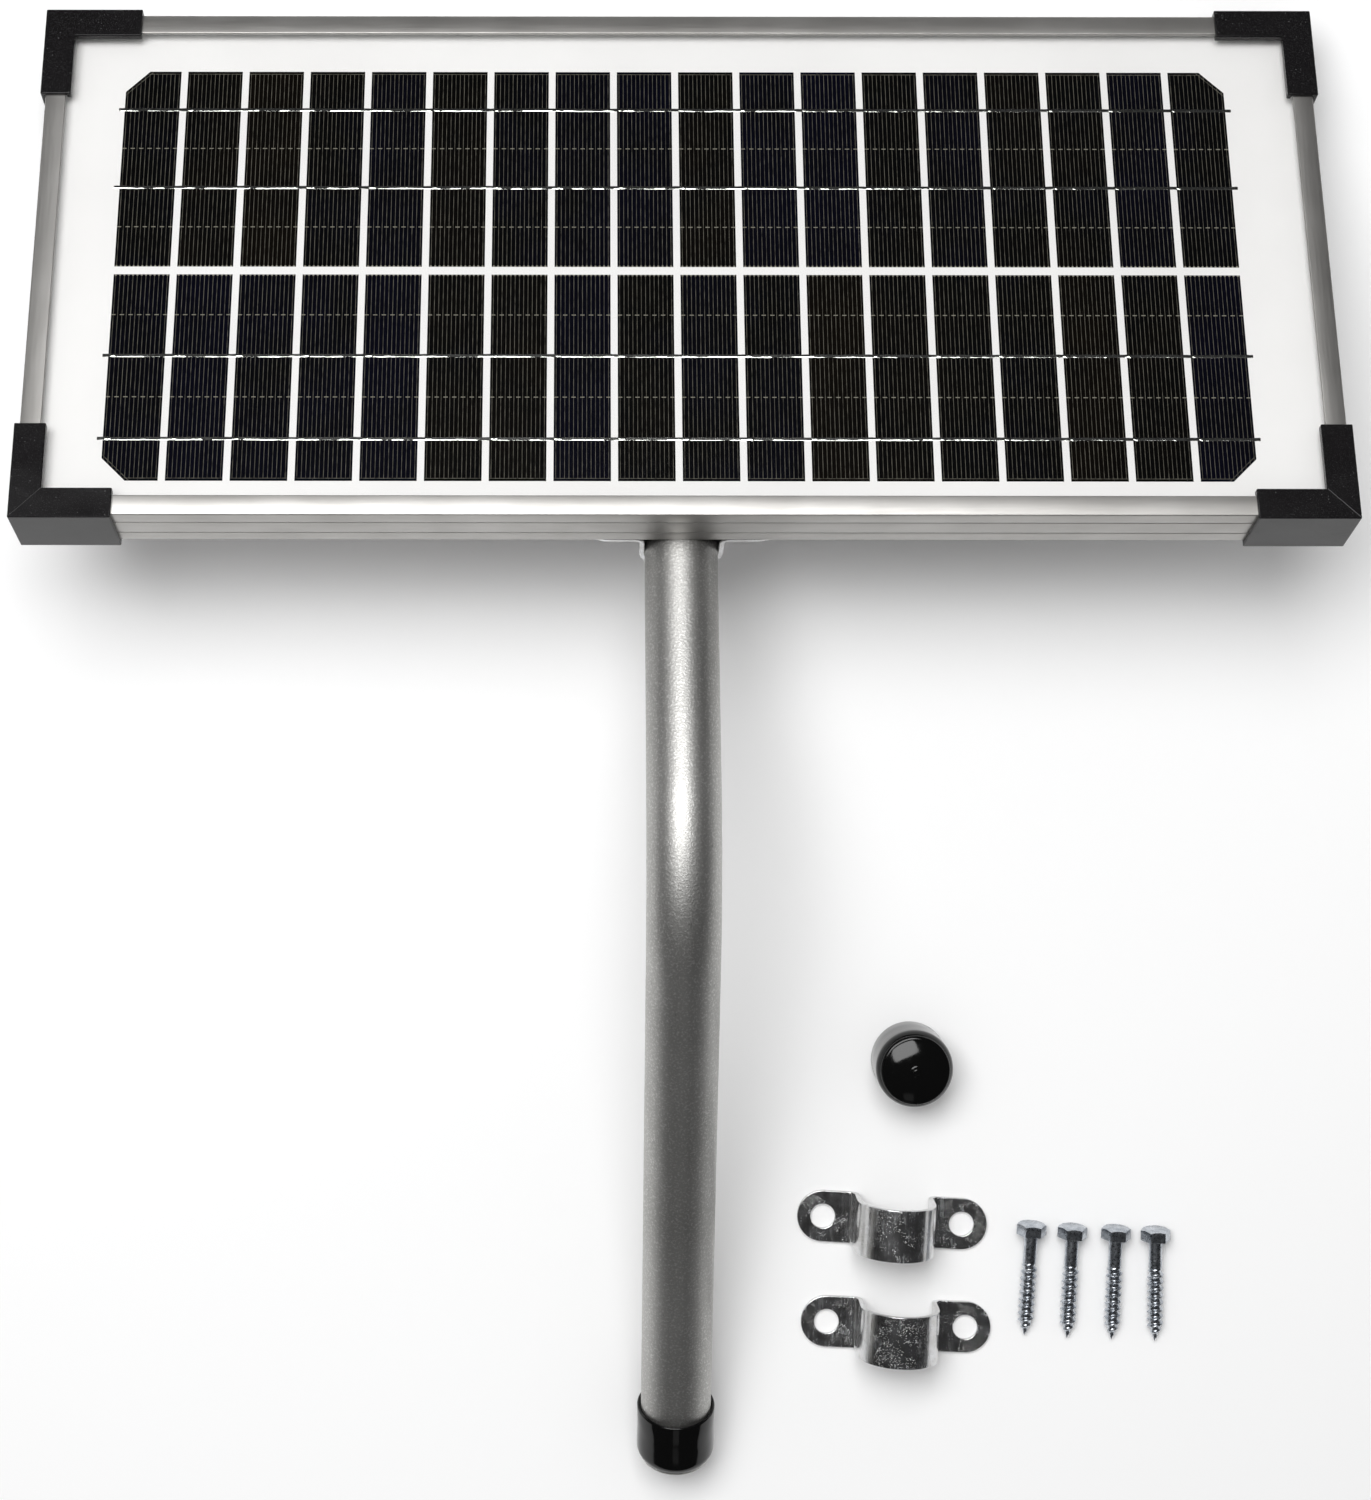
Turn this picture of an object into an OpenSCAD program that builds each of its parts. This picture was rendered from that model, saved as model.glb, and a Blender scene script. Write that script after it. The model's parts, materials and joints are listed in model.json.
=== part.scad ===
// A small framed solar panel on a bent pole, with the straps, caps and screws that fix the pole to a post.
// It lies as it would on a table: on the two far corners of the panel and on the cap of the pole.
// X runs along the panel's long side, Y towards its upper side and Z up from the table.
// Inside the panel's own modules X and Y lie in the panel and Z points out of its glass, with Z = 0 on
// the rear face of the frame and Y = 0 on its lower side.

/* [Frame] */
// Width of the framed panel
panel_w = 450; // [420:1:520]
// Height of the framed panel
panel_h = 193.5; // [188:0.5:220]
// Depth of the frame
panel_d = 22.5; // [21:0.5:30]
// Width of the lip that holds the glass
lip_w = 7.2; // [6:0.1:9]
// Thickness of the lip
lip_t = 1.3; // [1:0.1:1.5]
// Thickness of the frame's walls
wall_t = 1.5; // [1.2:0.1:1.8]
// Width of the flange at the back
flange_w = 20; // [19:0.5:22]
// Length of a corner cap's leg, from its outer corner
corner_leg = 34.5; // [28:0.5:50]
// Width of a corner cap's front face
corner_w = 10.8; // [10:0.1:14]
// Thickness of the corner caps
corner_t = 1.6; // [1:0.1:2]

/* [Cells] */
// Number of cell columns
columns = 18; // [10:1:18]
// Number of cell rows
rows = 2; // [1:1:2]
// Width of one cut cell
cell_w = 19.5; // [15:0.1:19.8]
// Height of one cut cell
cell_h = 78; // [70:0.5:80]
// Distance from one column to the next
column_pitch = 21.92; // [21:0.01:22]
// Gap between the rows
row_gap = 3; // [2:0.1:4]
// Chamfer on the outer corners of the end cells
cell_chamfer = 8.3; // [4:0.1:10]
// Sideways offset of the cells from the panel's middle
array_x = -1.4; // [-2:0.1:2]
// Height of the middle of the cells above the lower side
array_y = 94; // [93:0.1:97]

/* [Pole] */
// Radius of the pole
pole_r = 12.7; // [12:0.05:13]
// Wall of the pole
pole_wall = 1.5; // [1:0.1:2.5]
// Angle between the two straight stretches
bend_angle = 45; // [40:1:48]
// Radius of the bend at the middle of the pole
bend_r = 80; // [60:1:110]
// Distance from the panel's lower side to where the two axes cross
bend_drop = 115.3; // [105:0.1:125]
// Distance from where the axes cross to the end of the cap
lower_reach = 245; // [225:1:260]
// Height of the pole's top end above the panel's lower side
pole_top = 130; // [126:1:132]
// Outer radius of the end caps
cap_r = 14.1; // [13.9:0.05:14.4]
// Length of the end caps
cap_len = 25; // [20:0.5:32]
// Rounding of the closed end
cap_round = 6; // [3:0.5:8]

/* [Straps] */
// Plate thickness of the pipe straps
strap_t = 1.8; // [1.5:0.1:2]
// Width of the pipe straps
strap_w = 19; // [17:0.5:20]
// Distance between a strap's two holes
strap_holes = 51.4; // [49:0.1:54]
// Radius of a strap's holes
strap_hole_r = 4.5; // [3.5:0.1:4.8]
// Bend radius at the feet
strap_bend = 2; // [1.5:0.1:2.5]
// Height of the upper strap and its brace above the lower side
brace_y = 114; // [112:0.5:116]

/* [Lag screws] */
// Length under the head
screw_len = 38; // [30:1:45]
// Radius of the thread
screw_r = 3; // [2.6:0.1:3.2]
// Radius at the root of the thread
root_r = 2.1; // [1.8:0.1:2.3]
// Radius of the plain shank
shank_r = 2.4; // [2.2:0.1:2.6]
// Length of the plain shank
shank_len = 10; // [6:0.5:14]
// Pitch of the thread
thread_pitch = 2.6; // [2:0.1:3]
// Width of the head across flats
head_af = 9.5; // [9:0.1:11]
// Height of the head
head_h = 4.2; // [3.5:0.1:5]

/* [Junction box] */
// Middle of the box across the panel
box_x = 120; // [100:1:150]
// Middle of the box above the lower side
box_y = 60; // [58:1:64]
// Width of the box
box_w = 62; // [60:1:70]
// Height of the box
box_h = 50; // [48:1:52]
// Wall of the box
box_wall = 2.4; // [2.2:0.1:2.6]
// Sideways place of the cable gland in the box
gland_x = 16; // [14:0.5:18]

/* [Hidden] */

$fn = 64;
fit = 0.05;                        // running fit between round parts, on the radius
cut = 1;                           // how far a cutting solid runs past the face it cuts

// Layers behind the glass, from the frame's shelf forward
seal_t = 0.3;
groove_h = 5.1;
backsheet_t = 0.35;
rear_t = 0.5;
front_t = 0.45;
cell_t = 0.2;
ribbon_t = 0.08;
shelf_t = 1.3;
shelf_z = panel_d - lip_t - groove_h;
backsheet_z = shelf_z + seal_t;
rear_z = backsheet_z + backsheet_t;
front_z = rear_z + rear_t;
glass_z = front_z + front_t;
glass_top = panel_d - lip_t - seal_t;
edge_gap = wall_t + 0.8;           // from the frame's side to the edge of the glass
seal_reach = 6.8;                  // from the frame's side to the inner edge of the seal

// Cells
cells_w = (columns - 1) * column_pitch + cell_w;
cells_h = rows * cell_h + (rows - 1) * row_gap;
ribbon_w = 1.2;
ribbon_steps = [0.2, 0.6];         // places of a row's ribbons, from its outer side
ribbon_over = 2;                   // how far a ribbon runs past the end cells
lead_w = 3;
lead_t = 0.2;
strip_z = rear_z + 0.05;           // rear face of the wide ribbons behind the cells
link_x = 4;                        // place of the first link, from the cells' left end
link_dx = 10;
lead_end = 6;                      // where the leads end, from the cells' right end

// Junction box, measured back from the rear of the panel
box_adhesive_t = 0.8;
box_top = backsheet_z - box_adhesive_t;
box_floor = 1.6;
box_rim = 4.6;
box_round = 3;
lid_t = 2;
lid_rim = 1.8;
lid_gap = 0.3;
gasket_w = 1;
gasket_d = 0.8;
knuckle_r = 2;
hinge_pin_r = 1;
hinge_out = 2.2;
lid_knuckle = 23.4;
base_knuckle = 8;
lead_y = 14;
lead_places = [-14, 6];
slot = [5, 3];
terminal = [6, 14, 5.5];
terminal_y = -2;
terminal_top = box_top - box_floor;
terminal_hole_r = 1.4;
gland_z = 10.1;
gland_r = 4;
gland_bore = 2.7;
gland_af = 9.4;
gland_out = 9;                     // how far the gland's body stands out of the wall
gland_collar = 3;
nut_gap = 0.2;
nut_end = 1;                       // thickness of the nut's closed end
seal_len = 2.1;

// Pole, caps and straps
cap_end_t = 2.4;                   // thickness of a cap's closed end
nub_r = 1.6;
nub_h = 0.8;
axis_z = -pole_r - fit;
bend_run = bend_r * tan(bend_angle / 2);
saddle_r = pole_r + fit;
leg_out = saddle_r + strap_t;
brace_t = 2;
brace_end = panel_w / 2 - wall_t - 0.2;
joggle = [panel_w / 2 - flange_w - 5, panel_w / 2 - flange_w - 0.4];
strap_y = [strap_w / 2, brace_y];
washer_t = 1.2;
bolt_r = 3;
bolt_af = 10;
bolt_head = 4;
bolt_nut = 5;
rivet_r = 2;
rivet_x = panel_w / 2 - 11;
rivet_dy = 4.5;
bolt_over = 1;                     // how far a bolt stands out of its nut
bolt_hole_r = bolt_r + 0.3;

// How the whole lies: a flat surface touches the far corners and the rounded end of the cap
far_corner = [panel_h + corner_t, -corner_t];
cap_across = cap_r - cap_round;
cap_along = lower_reach - cap_round;
cap_turn = [
    -bend_drop - cap_along * cos(bend_angle) + cap_across * sin(bend_angle),
    axis_z - cap_along * sin(bend_angle) - cap_across * cos(bend_angle)
];
span = far_corner - cap_turn;
tilt = atan2(span[1], span[0]) + asin(cap_round / norm(span));
function table_y(p) = p[0] * cos(tilt) + p[1] * sin(tilt);
rest_z = far_corner[0] * sin(tilt) - far_corner[1] * cos(tilt);
far_y = table_y([panel_h + corner_t, panel_d + corner_t]);
cap_axis = [-bend_drop - cap_along * cos(bend_angle), axis_z - cap_along * sin(bend_angle)];
near_y = table_y(cap_axis) - cap_across * sin(bend_angle - tilt) - cap_round;
rest_y = -(far_y + near_y) / 2;

// Where the loose pieces lie: X, Y and turn about Z
spare_cap_place = [86.7, -117];
post_strap_places = [[80.5, -176.5, -3.3], [82, -215.3, -2.4]];
screw_places = [[131.6, -180.9, -3.2], [146.7, -181.9, -2.2], [162.8, -182.4, -1.7], [177.5, -182.9, 0.4]];
screw_lean = atan((head_af / 2 - screw_r) / (screw_len - thread_pitch * 2));

// ---- Placing ----

module on_table() {
    translate([0, rest_y, rest_z]) rotate([-tilt, 0, 0]) children();
}

// One corner of the frame with its legs along +X and +Y, mirrored to the other three
module at_corner(right, top) {
    translate([(right - 0.5) * panel_w, top * panel_h, 0])
        mirror([right, 0, 0]) mirror([0, top, 0]) children();
}

module at_box() {
    translate([box_x, box_y, 0]) children();
}

// Z runs out along the gland from the box's wall
module at_gland() {
    at_box() translate([gland_x, -box_h / 2, gland_z]) rotate([90, 0, 0]) children();
}

// Z runs down the lower stretch of the pole from where the two axes cross
module down_pole() {
    translate([0, -bend_drop, axis_z]) rotate([90 + bend_angle, 0, 0]) children();
}

// The four bolts of the two back straps, with Z pointing out of the glass
module at_bolts() {
    for (y = strap_y, side = [-1, 1])
        translate([side * strap_holes / 2, y, 0]) children();
}

// ---- Shared shapes ----

module round_plate(w, h, r) {
    square([w - 2 * r, h], center = true);
    square([w, h - 2 * r], center = true);
    for (x = [-1, 1], y = [-1, 1])
        translate([x * (w / 2 - r), y * (h / 2 - r)]) circle(r);
}

module tube(outer_r, inner_r, length) {
    difference() {
        cylinder(r = outer_r, h = length);
        translate([0, 0, -cut]) cylinder(r = inner_r, h = length + 2 * cut);
    }
}

module hexagon(af, height) {
    cylinder(d = af / cos(30), h = height, $fn = 6);
}

// A slab centred on the panel, its edges a given distance inside the frame's sides
module slab(inset, z, thick) {
    translate([inset - panel_w / 2, inset, z])
        cube([panel_w - 2 * inset, panel_h - 2 * inset, thick]);
}

// ---- Frame ----

// Section of a rail: Y is the depth of the frame, X runs in from its outer side
module rail_section() {
    groove_w = 0.5;
    groove_d = 0.3;
    shelf_w = lip_w - 0.2;
    difference() {
        polygon([
            [0, 0], [flange_w, 0], [flange_w, wall_t], [wall_t, wall_t],
            [wall_t, shelf_z - shelf_t], [shelf_w, shelf_z - shelf_t],
            [shelf_w, shelf_z], [wall_t, shelf_z], [wall_t, panel_d - lip_t],
            [lip_w, panel_d - lip_t], [lip_w, panel_d], [0, panel_d]
        ]);
        for (share = [0.31, 0.71])
            translate([-cut, panel_d * (1 - share) - groove_w / 2])
                square([cut + groove_d, groove_w]);
    }
}

// A rail along X with mitred ends, its outer side at Y = 0
module rail(length) {
    intersection() {
        translate([-length / 2, 0, 0])
            rotate([90, 0, 90]) linear_extrude(length) rail_section();
        linear_extrude(panel_d) polygon([
            [-length / 2, 0], [length / 2, 0],
            [length / 2 - flange_w, flange_w], [-length / 2 + flange_w, flange_w]
        ]);
    }
}

module frame_rail_bottom() {
    color("silver") on_table() difference() {
        rail(panel_w);
        for (side = [-1, 1])
            translate([side * strap_holes / 2, strap_y[0], -cut])
                cylinder(r = bolt_hole_r, h = wall_t + 2 * cut);
    }
}

module frame_rail_top() {
    color("silver") on_table() translate([0, panel_h, 0]) rotate([0, 0, 180]) rail(panel_w);
}

// A side rail, with the holes of the brace's rivets in its flange
module side_rail(side) {
    color("silver") on_table() difference() {
        translate([side * panel_w / 2, panel_h / 2, 0]) rotate([0, 0, side * 90]) rail(panel_h);
        for (dy = [-1, 1])
            translate([side * rivet_x, brace_y + dy * rivet_dy, -cut])
                cylinder(r = rivet_r, h = wall_t + 2 * cut);
    }
}

module frame_rail_left() { side_rail(-1); }
module frame_rail_right() { side_rail(1); }

// Moulded cap that wraps the front, the back and both outer sides of a corner
module corner_cap(right, top) {
    leg = corner_leg - corner_t;
    inner = corner_w - corner_t;
    skirt_t = corner_t;
    skirt_gap = 0.1;
    line_w = 0.4;
    line_d = 0.3;
    color("#1b1b1d") on_table() at_corner(right, top) difference() {
        union() {
            difference() {
                translate([-corner_t, -corner_t, -corner_t])
                    cube([corner_leg, corner_leg, panel_d + 2 * corner_t]);
                cube([leg + cut, leg + cut, panel_d]);
                translate([inner, inner, -2 * corner_t])
                    cube([leg + cut, leg + cut, panel_d + 4 * corner_t]);
            }
            difference() {
                translate([inner - skirt_t, inner - skirt_t, glass_top + skirt_gap])
                    cube([leg - inner + skirt_t, leg - inner + skirt_t, panel_d - glass_top]);
                translate([inner, inner, glass_top - cut])
                    cube([leg, leg, panel_d]);
            }
        }
        translate([0, 0, panel_d + corner_t - line_d]) rotate([0, 0, 45])
            translate([-corner_leg, -line_w / 2, 0]) cube([2 * corner_leg, line_w, cut]);
    }
}

module corner_cap_bl() { corner_cap(0, 0); }
module corner_cap_br() { corner_cap(1, 0); }
module corner_cap_tl() { corner_cap(0, 1); }
module corner_cap_tr() { corner_cap(1, 1); }

// Angle pieces pressed into the rails behind the shelf
module corner_keys() {
    key_leg = 22;
    key_t = 2;
    key_z = wall_t + 0.2;
    color("gainsboro") on_table() for (right = [0, 1], top = [0, 1])
        at_corner(right, top) translate([wall_t, wall_t, key_z]) difference() {
            cube([key_leg, key_leg, shelf_z - shelf_t - key_z - 0.2]);
            translate([key_t, key_t, -cut]) cube([key_leg, key_leg, panel_d]);
        }
}

// ---- Glass and cells ----

module edge_seal() {
    color("whitesmoke") on_table() difference() {
        slab(wall_t, shelf_z, groove_h);
        slab(edge_gap, backsheet_z, glass_top - backsheet_z);
        slab(seal_reach, shelf_z - cut, groove_h + 2 * cut);
    }
}

module cover_glass() {
    color("lightblue", 0.3) on_table() slab(edge_gap, glass_z, glass_top - glass_z);
}

// The cell's outline, with chamfers on the outer corners of the end columns
module cell_outline(column, row) {
    c = cell_chamfer;
    side = column == 0 ? -1 : 1;
    up = row == 0 ? -1 : 1;
    difference() {
        square([cell_w, cell_h], center = true);
        if (column == 0 || column == columns - 1)
            translate([side * cell_w / 2, up * cell_h / 2])
                rotate([0, 0, 45]) square(c * sqrt(2), center = true);
    }
}

module cell_array(thick) {
    for (column = [0:columns - 1], row = [0:rows - 1])
        translate([
            array_x + (column - (columns - 1) / 2) * column_pitch,
            array_y + (row - (rows - 1) / 2) * (cell_h + row_gap),
            front_z - cell_t
        ]) linear_extrude(thick) cell_outline(column, row);
}

// Flat wires along each row; cuts are made a little thicker than the wires
module ribbon_array(thick) {
    for (row = [0:rows - 1], step = ribbon_steps) {
        up = row == 0 ? -1 : 1;
        y = array_y + up * (cells_h / 2 - step * cell_h);
        translate([array_x - cells_w / 2 - ribbon_over, y - ribbon_w / 2, front_z])
            cube([cells_w + 2 * ribbon_over, ribbon_w, thick]);
    }
}

// Ribbons behind the end cells that join the two rows at the left
module link_strips() {
    for (step = ribbon_steps)
        translate([
            array_x - cells_w / 2 + link_x + step * link_dx,
            array_y - cells_h / 2 + step * cell_h,
            strip_z
        ]) cube([lead_w, cells_h - 2 * step * cell_h, lead_t]);
}

// Ribbons that run behind the cells and down through the slots into the box
module lead_strips() {
    for (i = [0, 1]) {
        x = box_x + lead_places[i] - lead_w / 2;
        y = box_y + lead_y;
        row_y = y + i * (lead_w + 1);
        end_x = array_x + cells_w / 2 - lead_end;
        down_to = box_top - box_floor - lead_t;
        translate([x, row_y, strip_z]) cube([end_x - x, lead_w, lead_t]);
        translate([x, y, strip_z]) cube([lead_w, i * (lead_w + 1) + lead_w, lead_t]);
        translate([x, y, down_to]) cube([lead_w, lead_t, strip_z + lead_t - down_to]);
        translate([x, box_y + terminal_y + terminal[1] / 2, down_to])
            cube([lead_w, lead_y - terminal_y - terminal[1] / 2 + lead_t, lead_t]);
    }
}

module lead_slots(z, thick) {
    for (x = lead_places)
        translate([box_x + x - slot[0] / 2, box_y + lead_y - slot[1] / 2, z])
            cube([slot[0], slot[1], thick]);
}

module solar_cells() {
    color("#14141c") on_table() cell_array(cell_t);
}

module cell_ribbons() {
    color("#b9bcc2") on_table() ribbon_array(ribbon_t);
}

module string_links() {
    color("#b9bcc2") on_table() link_strips();
}

module output_ribbons() {
    color("#b9bcc2") on_table() lead_strips();
}

module front_encapsulant() {
    color("#e8eef2", 0.3) on_table() difference() {
        slab(edge_gap, front_z, front_t);
        ribbon_array(ribbon_t);
    }
}

module rear_encapsulant() {
    color("#f1eff0") on_table() difference() {
        slab(edge_gap, rear_z, rear_t);
        cell_array(cell_t + cut);
        link_strips();
        lead_strips();
        lead_slots(rear_z - cut, cut + strip_z - rear_z);
    }
}

module backsheet() {
    color("white") on_table() difference() {
        slab(edge_gap, backsheet_z, backsheet_t);
        lead_slots(backsheet_z - cut, backsheet_t + 2 * cut);
    }
}

// ---- Junction box ----

module box_adhesive() {
    color("dimgray") on_table() difference() {
        at_box() translate([0, 0, box_top])
            linear_extrude(box_adhesive_t) round_plate(box_w - 4, box_h - 4, 2);
        lead_slots(box_top - cut, box_adhesive_t + 2 * cut);
    }
}

// The groove that the gasket lies in, in the middle of the box's rim
module gasket_ring(depth) {
    mid = box_wall;
    translate([0, 0, box_rim]) linear_extrude(depth) difference() {
        round_plate(box_w - mid + gasket_w, box_h - mid + gasket_w, 2.3);
        round_plate(box_w - mid - gasket_w, box_h - mid - gasket_w, 1.3);
    }
}

// A hinge knuckle along X, joined to the box's wall on the given side of the rim
module knuckle(x, length, up) {
    translate([x, box_h / 2 + hinge_out, box_rim]) rotate([0, 90, 0])
        cylinder(r = knuckle_r, h = length);
    translate([x, box_h / 2 - 0.5, box_rim - (1 - up) * knuckle_r])
        cube([length, hinge_out + 0.5, knuckle_r]);
}

module hinge_bore(r) {
    translate([-box_w / 2, box_h / 2 + hinge_out, box_rim]) rotate([0, 90, 0])
        cylinder(r = r, h = box_w);
}

module box_base() {
    deep = box_top - box_rim;
    ear_x = lid_knuckle / 2 + 0.3;
    color("#161618") on_table() difference() {
        at_box() difference() {
            union() {
                translate([0, 0, box_rim]) linear_extrude(deep) round_plate(box_w, box_h, box_round);
                knuckle(ear_x, base_knuckle, 1);
                knuckle(-ear_x - base_knuckle, base_knuckle, 1);
            }
            translate([0, 0, box_rim - cut]) linear_extrude(deep - box_floor + cut)
                round_plate(box_w - 2 * box_wall, box_h - 2 * box_wall, 1);
            translate([0, 0, -cut]) gasket_ring(gasket_d + cut);
            hinge_bore(hinge_pin_r + fit);
        }
        lead_slots(box_top - box_floor - cut, box_floor + 2 * cut);
        at_gland() translate([0, 0, -box_wall - cut]) cylinder(r = gland_r, h = box_wall + 2 * cut);
    }
}

module box_gasket() {
    color("#3a3a3c") on_table() at_box() gasket_ring(gasket_d);
}

module box_lid() {
    inside_w = box_w - 2 * box_wall - 2 * lid_gap;
    inside_h = box_h - 2 * box_wall - 2 * lid_gap;
    rim_t = 1.2;
    tongue = [12, 1.4, 5];
    color("#1d1d1f") on_table() at_box() difference() {
        union() {
            translate([0, 0, box_rim - lid_t]) linear_extrude(lid_t) round_plate(box_w, box_h, box_round);
            translate([0, 0, box_rim]) linear_extrude(lid_rim) difference() {
                round_plate(inside_w, inside_h, 0.8);
                round_plate(inside_w - 2 * rim_t, inside_h - 2 * rim_t, 0.4);
            }
            knuckle(-lid_knuckle / 2, lid_knuckle, 0);
            translate([-tongue[0] / 2, -box_h / 2 - tongue[1] - lid_gap, box_rim - lid_t])
                cube(tongue);
            translate([-tongue[0] / 2, -box_h / 2 - lid_gap - 0.2, box_rim - lid_t])
                cube([tongue[0], lid_gap + 0.4, lid_t - 0.2]);
        }
        hinge_bore(hinge_pin_r + fit);
    }
}

module box_hinge_pin() {
    length = lid_knuckle + 2 * base_knuckle;
    color("silver") on_table() at_box()
        translate([-length / 2, box_h / 2 + hinge_out, box_rim]) rotate([0, 90, 0])
            cylinder(r = hinge_pin_r, h = length);
}

module at_terminals() {
    for (x = lead_places)
        at_box() translate([x, terminal_y, terminal_top - terminal[2]]) children();
}

module terminals() {
    color("#b89a4e") on_table() at_terminals() difference() {
        translate([-terminal[0] / 2, -terminal[1] / 2, 0]) cube(terminal);
        translate([0, 0, -cut]) cylinder(r = terminal_hole_r, h = terminal[2] - 1 + cut);
    }
}

module terminal_screws() {
    head_r = 2.6;
    head_t = 1.3;
    slot_w = 0.6;
    color("silver") on_table() at_terminals() {
        cylinder(r = terminal_hole_r, h = terminal[2] - 1.5);
        translate([0, 0, -head_t]) difference() {
            cylinder(r = head_r, h = head_t);
            translate([-head_r - cut, -slot_w / 2, -cut])
                cube([2 * (head_r + cut), slot_w, cut + head_t / 2]);
        }
    }
}

module bypass_diode() {
    from = box_x + lead_places[0] + terminal[0] / 2;
    to = box_x + lead_places[1] - terminal[0] / 2;
    body_len = 8;
    body_r = 2.2;
    wire_r = 0.4;
    color("#202022") on_table()
        translate([from, box_y + terminal_y, terminal_top - terminal[2] / 2]) rotate([0, 90, 0]) {
            cylinder(r = wire_r, h = to - from);
            translate([0, 0, (to - from - body_len) / 2]) cylinder(r = body_r, h = body_len);
        }
}

module gland_body() {
    color("#161618") on_table() at_gland() difference() {
        union() {
            translate([0, 0, -box_wall]) cylinder(r = gland_r, h = box_wall + gland_out);
            hexagon(gland_af, gland_collar);
        }
        translate([0, 0, -box_wall - cut])
            cylinder(r = gland_bore, h = box_wall + gland_out + 2 * cut);
    }
}

module gland_nut() {
    from = gland_collar + nut_gap;
    inside = gland_out + seal_len + nut_gap - from;
    color("#161618") on_table() at_gland() translate([0, 0, from]) difference() {
        hexagon(gland_af, inside + nut_end);
        translate([0, 0, -cut]) cylinder(r = gland_r + fit, h = inside + cut);
        translate([0, 0, -cut]) cylinder(r = gland_bore + fit, h = inside + nut_end + 2 * cut);
    }
}

module gland_seal() {
    color("#3a3a3c") on_table() at_gland()
        translate([0, 0, gland_out + nut_gap / 2]) tube(gland_r - fit, gland_bore - fit, seal_len);
}

// ---- Pole and its fixings ----

// Cross bar between the side rails; its ends step up onto the inner faces of their flanges
module cross_brace() {
    step = wall_t;
    half = [
        [joggle[0], brace_t], [joggle[1], step + brace_t], [brace_end, step + brace_t],
        [brace_end, step], [joggle[1], step], [joggle[0], 0]
    ];
    color("gainsboro") on_table() difference() {
        translate([0, brace_y + strap_w / 2, 0]) rotate([90, 0, 0]) linear_extrude(strap_w)
            polygon([
                for (p = half) p,
                for (i = [len(half) - 1:-1:0]) [-half[i][0], half[i][1]]
            ]);
        for (side = [-1, 1]) {
            translate([side * strap_holes / 2, brace_y, -cut])
                cylinder(r = bolt_hole_r, h = brace_t + 2 * cut);
            for (dy = [-1, 1])
                translate([side * rivet_x, brace_y + dy * rivet_dy, 0])
                    cylinder(r = rivet_r, h = brace_t + step + cut);
        }
    }
}

module brace_rivets() {
    grip = wall_t + brace_t;
    head_h = 1.2;
    tail_h = 1.8;
    color("silver") on_table() for (side = [-1, 1], dy = [-1, 1])
        translate([side * rivet_x, brace_y + dy * rivet_dy, 0]) {
            cylinder(r = rivet_r, h = grip);
            translate([0, 0, -head_h]) cylinder(r1 = rivet_r, r2 = 2 * rivet_r, h = head_h);
            translate([0, 0, grip]) cylinder(r = 1.4 * rivet_r, h = tail_h);
        }
}

// Half of a strap's section in X and Z: foot, bend, leg and a quarter of the arch
module strap_half_section() {
    turn_x = leg_out + strap_bend;
    turn_z = strap_t + strap_bend;
    foot_end = strap_holes / 2 + strap_w / 2;
    translate([turn_x, 0]) square([foot_end - turn_x, strap_t]);
    translate([saddle_r, turn_z]) square([strap_t, saddle_r - turn_z]);
    intersection() {
        translate([turn_x, turn_z]) difference() {
            circle(strap_bend + strap_t);
            circle(strap_bend);
        }
        translate([saddle_r, 0]) square([strap_bend + strap_t, turn_z]);
    }
    intersection() {
        translate([0, saddle_r]) difference() {
            circle(leg_out);
            circle(saddle_r);
        }
        translate([0, saddle_r]) square(leg_out + cut);
    }
}

// Two-hole pipe strap standing on Z = 0, its arch along Y
module pipe_strap() {
    tall = saddle_r + leg_out + cut;
    difference() {
        intersection() {
            translate([0, strap_w / 2, 0]) rotate([90, 0, 0]) linear_extrude(strap_w)
                for (side = [0, 1]) mirror([side, 0]) strap_half_section();
            linear_extrude(tall) {
                square([strap_holes, strap_w], center = true);
                for (side = [-1, 1])
                    translate([side * strap_holes / 2, 0]) circle(strap_w / 2);
            }
        }
        for (side = [-1, 1])
            translate([side * strap_holes / 2, 0, -cut]) cylinder(r = strap_hole_r, h = strap_t + 2 * cut);
    }
}

module back_strap(y) {
    color("#c4c6c9") on_table() translate([0, y, 0]) rotate([0, 180, 0]) pipe_strap();
}

module back_strap_lower() { back_strap(strap_y[0]); }
module back_strap_upper() { back_strap(strap_y[1]); }

module strap_bolts() {
    under = -strap_t - washer_t;
    color("#c4c6c9") on_table() at_bolts() {
        translate([0, 0, under - bolt_head]) hexagon(bolt_af, bolt_head);
        translate([0, 0, under]) cylinder(r = bolt_r, h = brace_t + bolt_nut + bolt_over - under);
    }
}

module strap_washers() {
    color("#c4c6c9") on_table() at_bolts() translate([0, 0, -strap_t - washer_t])
        tube(strap_hole_r + 2, bolt_r + fit, washer_t);
}

module strap_nuts() {
    seats = [wall_t, brace_t];
    color("#c4c6c9") on_table() for (i = [0, 1], side = [-1, 1])
        translate([side * strap_holes / 2, strap_y[i], seats[i]]) difference() {
            hexagon(bolt_af, bolt_nut);
            translate([0, 0, -cut]) cylinder(r = bolt_r + fit, h = bolt_nut + 2 * cut);
        }
}

module pole_section(swell) {
    difference() {
        circle(pole_r + swell);
        circle(pole_r - pole_wall - swell);
    }
}

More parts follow.
